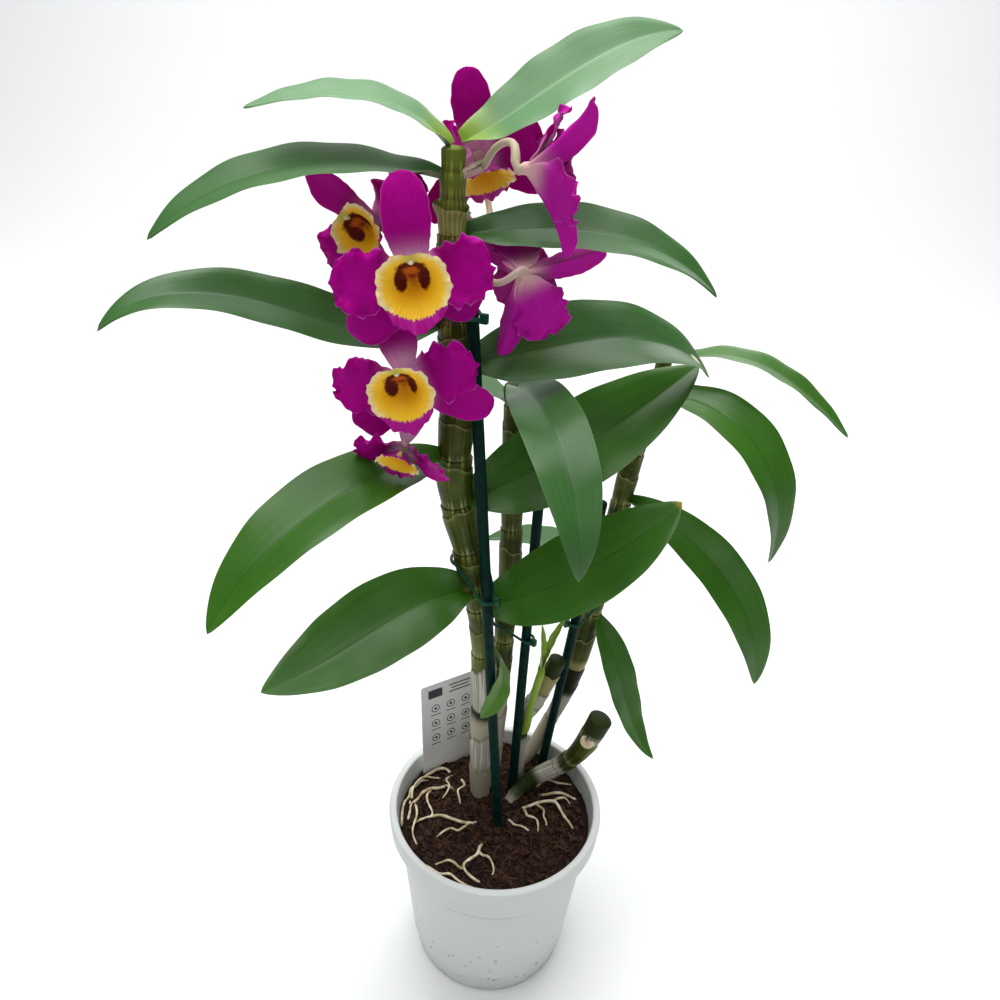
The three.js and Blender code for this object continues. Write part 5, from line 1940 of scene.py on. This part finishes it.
BLOOM_LIST = [
    Bloom("bloom_1", (-42, -18, 405), (-84, 3), spin=7, size=0.98,
          lean={-30: -12}, reach={-30: 0.74, -142: 0.86}),
    Bloom("bloom_2", (-59.5, 5, 420), (-126, 0), spin=46, size=0.84, cup=20, droop=14,
          lean={-30: -30, 6: -50, 90: 12}, reach={-30: 0.6}),
    Bloom("bloom_3", (-45, -20, 366), (-92, -6), spin=13, size=0.94, lean={90: -16},
          reach={-142: 0.86}),
    Bloom("bloom_4", (-46, -21, 338.35), (-108, -42), spin=-20, size=0.66, cup=14, lean={90: -80}),
    Bloom("bloom_5", (-2, -24, 446), (14, 4), spin=40, size=0.86, cup=22, fold=34,
          lean={6: 10, 90: 12}),
    Bloom("bloom_6", (-21, 25, 445), (-74, -10), spin=14, size=0.84, cup=3, droop=48,
          lean={176: -80}),
    Bloom("bloom_7", (-1, -8, 407), (80, -20), spin=66, size=0.9, cup=20, fold=46),
]
BLOOMS = {bloom.name: bloom for bloom in BLOOM_LIST}


@dataclass
class Stalk:
    """A short flower stalk out of the main cane, forked to its blooms, with papery bracts."""

    name: str
    height: float
    turn: float
    fork: Triple
    to: dict[str, Sequence[Triple]]
    radius: float = 1.35
    root_radius: float = 1.8
    straight: float = 4.5

    def build(self) -> None:
        """Makes the stalk."""
        cane = CANES["cane_main"]
        share = cane.route.share_at(self.height)
        root = cane.route.at(share) + heading(self.turn) * cane.plain_radius(share) * 0.7
        shape = Shape("band", "ring", "dry")
        rows = [(0, 0), (0.01, self.root_radius * 1.15), (0.5, self.root_radius), (0.97, self.radius), (1, 0)]
        shape.tube(Route([root, self.fork]), rows, 20)
        self.add_bract(shape, root, Vector(self.fork))
        for bloom_name, bends in self.to.items():
            bloom = BLOOMS[bloom_name]
            forward = heading(*bloom.face)
            back = Vector(bloom.centre) - forward * (Bloom.DEPTH / 2 * bloom.size)
            route = Route([self.fork, *bends, back - forward * self.straight, back + forward])
            rows = [(0, 0), (0.02, self.radius)]
            rows += [(i / 14, self.radius * (1 + 0.35 * smooth(0.55, 1, i / 14))) for i in range(1, 14)]
            shape.tube(route, [*rows, (0.99, self.radius * 1.3), (1, 0)], 20)
        shape.settle(self.name + "_pedicels", "flower_stalk", [PEDICEL, SHEATH], [self.name], 60)

    def add_bract(self, shape: Shape, root: Vector, fork: Vector) -> None:
        """Adds the small dry scale that clasps the stalk's foot.

        Args:
            shape: the mesh to add to.
            root: where the stalk starts.
            fork: where it forks.
        """
        way = (fork - root).normalized()
        rise = math.degrees(math.asin(clamp(way.z, -1, 1)))
        turn = math.degrees(math.atan2(way.y, way.x))
        scale = Blade(11, 6, (turn, turn), (rise + 20, rise + 8, rise), thickness=0.4, fold=-35, foot=0.7,
                      along=12, across=8)
        scale.add_to(shape, root + UP * 1.2, back=1)


STALKS = [
    Stalk("stalk_1", 403, 208, (-40, 1, 406), {"bloom_1": [(-42, -4, 406)], "bloom_2": [(-44, 3, 416)]}),
    Stalk("stalk_2", 352, 210, (-38, -1, 353), {"bloom_3": [(-43, -7, 361)], "bloom_4": [(-38, -8, 348)]}),
    Stalk("stalk_3", 440, -15, (-18, 2, 443),
          {"bloom_5": [(-13.9, -6, 450.1), (-9.3, -14, 453.3), (-6.5, -21, 452.2)]}, straight=2),
    Stalk("stalk_4", 401, -20, (-16, -1, 402), {"bloom_7": [(-9, -12, 404)]}),
    Stalk("stalk_5", 428, 70, (-23, 16, 421), {"bloom_6": [(-16, 30, 421), (-19, 38, 433)]}),
]


# ---------- roots and the young shoot


@dataclass
class Roots:
    """The buried crown and the air roots that wander over the bark."""

    crown: Sequence[Triple]
    routes: Sequence[Sequence[Triple]]
    extra: Sequence[Sequence[Triple]]
    crown_radius: float = 4.4
    radius: float = 1.15
    thin: float = 0.66  # radius of the extra roots, by that of the others
    taper: float = 0.4
    wander: float = 1.3

    def build(self) -> None:
        """Makes the crown and all roots."""
        shape = Shape()
        rows = [(0, 0), (0.01, self.crown_radius * 0.8)]
        rows += [(i / 20, self.crown_radius) for i in range(1, 20)]
        shape.tube(Route(self.crown), [*rows, (0.99, self.crown_radius * 0.8), (1, 0)], 20)
        for route in self.routes:
            self.add_root(shape, route, self.radius)
        for route in self.extra:
            self.add_root(shape, route, self.radius * self.thin)
        shape.settle("crown_and_air_roots", "root", [ROOT_SKIN], ["crown_and_roots"], 60)

    def add_root(self, shape: Shape, points: Sequence[Triple], radius: float) -> None:
        """Adds one root with small kinks and a rounded tip.

        Args:
            shape: the mesh to add to.
            points: its rough course.
            radius: its radius at the start.
        """
        coarse = Route(points)
        count = max(5, round(coarse.length / 5))
        bent = []
        for i in range(count + 1):
            spot = coarse.at(i / count)
            sway = noise.noise_vector(spot / 6) * self.wander * math.sin(math.pi * i / count) * 2
            bent.append(spot + Vector((sway.x, sway.y, 0.4 * abs(sway.z))))
        route = Route(bent)
        steps = count * 4
        rows = [(0, 0), (0.01, radius * 0.7)]
        for i in range(1, steps):
            share = i / steps
            knot = 1 + 0.35 * noise.noise(Vector((share * route.length / 3.5, radius, 3)))
            rows.append((share, radius * (1 - self.taper * share) * knot))
        shape.tube(route, [*rows, (0.995, radius * (1 - self.taper) * 0.6), (1, 0)], 10)


CROWN = [(7.5, 9.5, 88), (-1, 11, 88), (-9, 16, 88), (-3, 24, 88), (6, 29, 88), (14, 31, 88), (16, 42, 88)]
ROOT_ROUTES = [
    [(7.5, 9.5, 88), (10, 4, 90), (17, 4, 97), (24, 8, 99), (33, 9, 98.6), (40, 0, 98.4), (45, -9, 98)],
    [(-2, 11, 88), (-7, 2, 90), (-14, -9, 98.5), (-34, -5, 99), (-45, -10, 98.2)],
    [(-8, 16, 88), (-18, 16, 89.5), (-26, 17, 97), (-38, 14, 99), (-47, 4, 98.6), (-49, -8, 98)],
    [(-8, 16, 88), (-17, 22, 89.5), (-25, 27, 97), (-36, 30, 98.6), (-48, 15, 98.2)],
    [(2, 10, 88), (-2, -4, 90), (-8, -26, 97.6), (-16, -38, 98.6), (-6, -46, 98.2)],
    [(14, 31, 88), (20, 21, 89.5), (27, 15, 97.4), (36, 16, 98.8), (48, 12, 98)],
]
THIN_ROOTS = [
    [(24, 8, 98), (27, 2, 99.6), (29, -4, 99.2), (30, -8, 97)],
    [(33, 9, 98), (39, 11, 99.6), (44, 8, 99)],
    [(-14, -9, 98), (-19, -14, 99.8), (-27, -15, 99.4), (-32, -18, 97)],
    [(-38, 14, 98), (-40, 6, 99.8), (-36, -1, 99.5), (-38, -7, 97)],
    [(-25, 27, 97), (-29, 21, 99.6), (-28, 14, 99.4), (-31, 9, 97)],
    [(-8, -26, 97), (-3, -31, 99.6), (1, -38, 99.2), (-1, -42, 97)],
    [(-16, -38, 98), (-24, -35, 99.6), (-31, -36, 98)],
    [(-47, 4, 98), (-44, -2, 99.8), (-46, -16, 99.6), (-42, -24, 97.4)],
    [(6, -2, 96), (12, -9, 99.4), (18, -10, 99.4), (22, -15, 97)],
    [(-52, -12, 97), (-53, -2, 99.4), (-51, 8, 99.8), (-45, 18, 99.2), (-40, 22, 97)],
    [(-50, 2, 97), (-48, 12, 100), (-42, 21, 100), (-33, 24, 97)],
    [(-21, 24, 97), (-19, 17, 99.6), (-22, 11, 99.4), (-20, 5, 97)],
    [(24, 20, 97), (31, 24, 99.8), (40, 22, 99.6), (46, 24, 97)],
    [(17, 4, 98), (19, -3, 99.6), (25, -8, 99.2), (24, -14, 97)],
    [(-36, -36, 97), (-26, -43, 99.4), (-14, -48, 99.6), (-4, -52, 97)],
]


@dataclass
class Shoot:
    """A young shoot from the foot of the cut cane: a short stem and two leaves still folded."""

    stem: Sequence[Triple] = ((13.6, 26.5, 136), (15.4, 23.3, 141), (18, 22, 165), (22, 21.5, 188))
    radius: float = 2.1

    def build(self) -> None:
        """Makes the shoot."""
        shape = Shape()
        route = Route(self.stem)
        rows = [(0, 0), (0.02, self.radius * 0.9)]
        rows += [(i / 16, self.radius * (1 + 0.06 * math.sin(9 * i / 16))) for i in range(1, 15)]
        shape.tube(route, [*rows, (0.96, self.radius), (1, 0)], 20)
        base = route.at(0.93)
        for leaf in (
            Blade(33, 6.4, (158, 140), (86, 88, 84), (0, 30), fold=48, foot=0.6, along=24, across=10),
            Blade(38, 7.2, (12, 28), (76, 72, 64), (-10, -20), fold=44, foot=0.6, along=24, across=10),
        ):
            leaf.add_to(shape, base, back=0)
        shape.settle("shoot_young_growth", "young_shoot", [SHOOT_GREEN], ["shoot_young"], 60)


# ---------- studio


@dataclass
class Studio:
    """A pale floor that sweeps up behind, soft lamps and the camera. Places are in metres."""

    lens: float = 28.8
    eye: Triple = (-0.00572, -0.32039, 0.47627)
    ahead: Triple = (0.0, 0.87960, -0.47571)
    tilt: float = 0.04918  # radians, clockwise
    sweep_from: float = 1.6
    sweep_radius: float = 1.2
    half_width: float = 6.0
    front: float = 3.0
    height: float = 5.0
    lamps: Sequence[tuple[str, Triple, Triple, float, float]] = (  # name, spot, goal, size and power
        ("key_overhead", (-0.3, -0.24, 1.5), (0, 0, 0.3), 1.0, 11.5),
        ("rim_back", (0.7, 1.2, 1.1), (0, 0, 0.3), 0.8, 4.0),
        ("fill_front", (0.5, -1.4, 1.1), (0, 0, 0.28), 0.9, 3.0),
        ("backdrop_wash", (0, 0.9, 3.2), (0, 2.6, 0.8), 2.6, 105),
    )
    air: str = "#f4f6f8"
    air_strength: float = 0.16

    def build(self) -> None:
        """Makes the set."""
        self.add_sweep()
        for lamp in self.lamps:
            self.add_lamp(*lamp)
        self.add_camera()
        world = bpy.data.worlds.new("studio_air")
        world.use_nodes = True
        air = world.node_tree.nodes["Background"]
        air.inputs["Color"].default_value = linear(self.air)
        air.inputs["Strength"].default_value = self.air_strength
        bpy.context.scene.world = world
        bpy.context.scene.view_settings.view_transform = "Standard"

    def add_sweep(self) -> None:
        """Adds the floor and the backdrop as one curved sheet."""
        sheet = bmesh.new()
        made = bmesh.ops.create_grid(sheet, x_segments=1, y_segments=48, size=0.5)["verts"]
        bend = math.pi / 2 * self.sweep_radius
        total = self.front + self.sweep_from + bend + self.height
        for vert in made:
            side, run = vert.co.x, (vert.co.y + 0.5) * total - self.front
            angle = clamp((run - self.sweep_from) / self.sweep_radius, 0, math.pi / 2)
            y = min(run, self.sweep_from) + self.sweep_radius * math.sin(angle)
            z = self.sweep_radius * (1 - math.cos(angle)) + max(run - self.sweep_from - bend, 0)
            vert.co = Vector((side * 2 * self.half_width, y, z))
        mesh = bpy.data.meshes.new("studio_sweep")
        sheet.to_mesh(mesh)
        sheet.free()
        mesh.materials.append(BACKDROP.material())
        mesh.shade_smooth()
        floor = bpy.data.objects.new("studio_sweep", mesh)
        bpy.context.scene.collection.objects.link(floor)

    def add_lamp(self, name: str, spot: Triple, goal: Triple, size: float, power: float) -> None:
        """Adds a square soft lamp aimed at a goal.

        Args:
            name: its name.
            spot: where it hangs.
            goal: where it points.
            size: length of its sides.
            power: watts.
        """
        light = bpy.data.lights.new(name, "AREA")
        light.size = size
        light.energy = power
        lamp = bpy.data.objects.new(name, light)
        lamp.location = spot
        lamp.rotation_euler = (Vector(goal) - Vector(spot)).to_track_quat("-Z", "Y").to_euler()
        bpy.context.scene.collection.objects.link(lamp)

    def add_camera(self) -> None:
        """Adds the camera, aimed along its own line and turned a little about it."""
        ahead = Vector(self.ahead)
        upright = Vector((0, -ahead.z, ahead.y))
        side = Vector((1, 0, 0))
        right = side * math.cos(-self.tilt) - upright * math.sin(-self.tilt)
        up = side * math.sin(-self.tilt) + upright * math.cos(-self.tilt)
        lens = bpy.data.cameras.new("camera_front")
        lens.lens = self.lens
        lens.clip_start = 0.01
        camera = bpy.data.objects.new("camera_front", lens)
        pose = Matrix((right, up, -ahead)).transposed().to_4x4()
        camera.matrix_world = Matrix.Translation(self.eye) @ pose
        bpy.context.scene.collection.objects.link(camera)
        bpy.context.scene.camera = camera


# ---------- the whole plant


def main() -> None:
    """Builds every piece in order."""
    logging.basicConfig(level=logging.INFO, format="%(name)s %(message)s")
    noise.seed_set(SEED)
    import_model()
    pot = Pot.from_frame()
    pieces = [pot, Substrate(pot), CareCard(), Roots(CROWN, ROOT_ROUTES, THIN_ROOTS)]
    pieces += [*CANE_LIST, *STAKE_LIST]
    pieces += [Tie(name, CANES[cane], STAKES[stake], *rest) for name, cane, stake, *rest in TIES]
    pieces += [*LEAVES, Shoot(), *STALKS, *BLOOM_LIST, Studio()]
    for piece in pieces:
        piece.build()
    LOG.info("%d groups of pieces built", len(pieces))


if __name__ == "__main__":
    main()
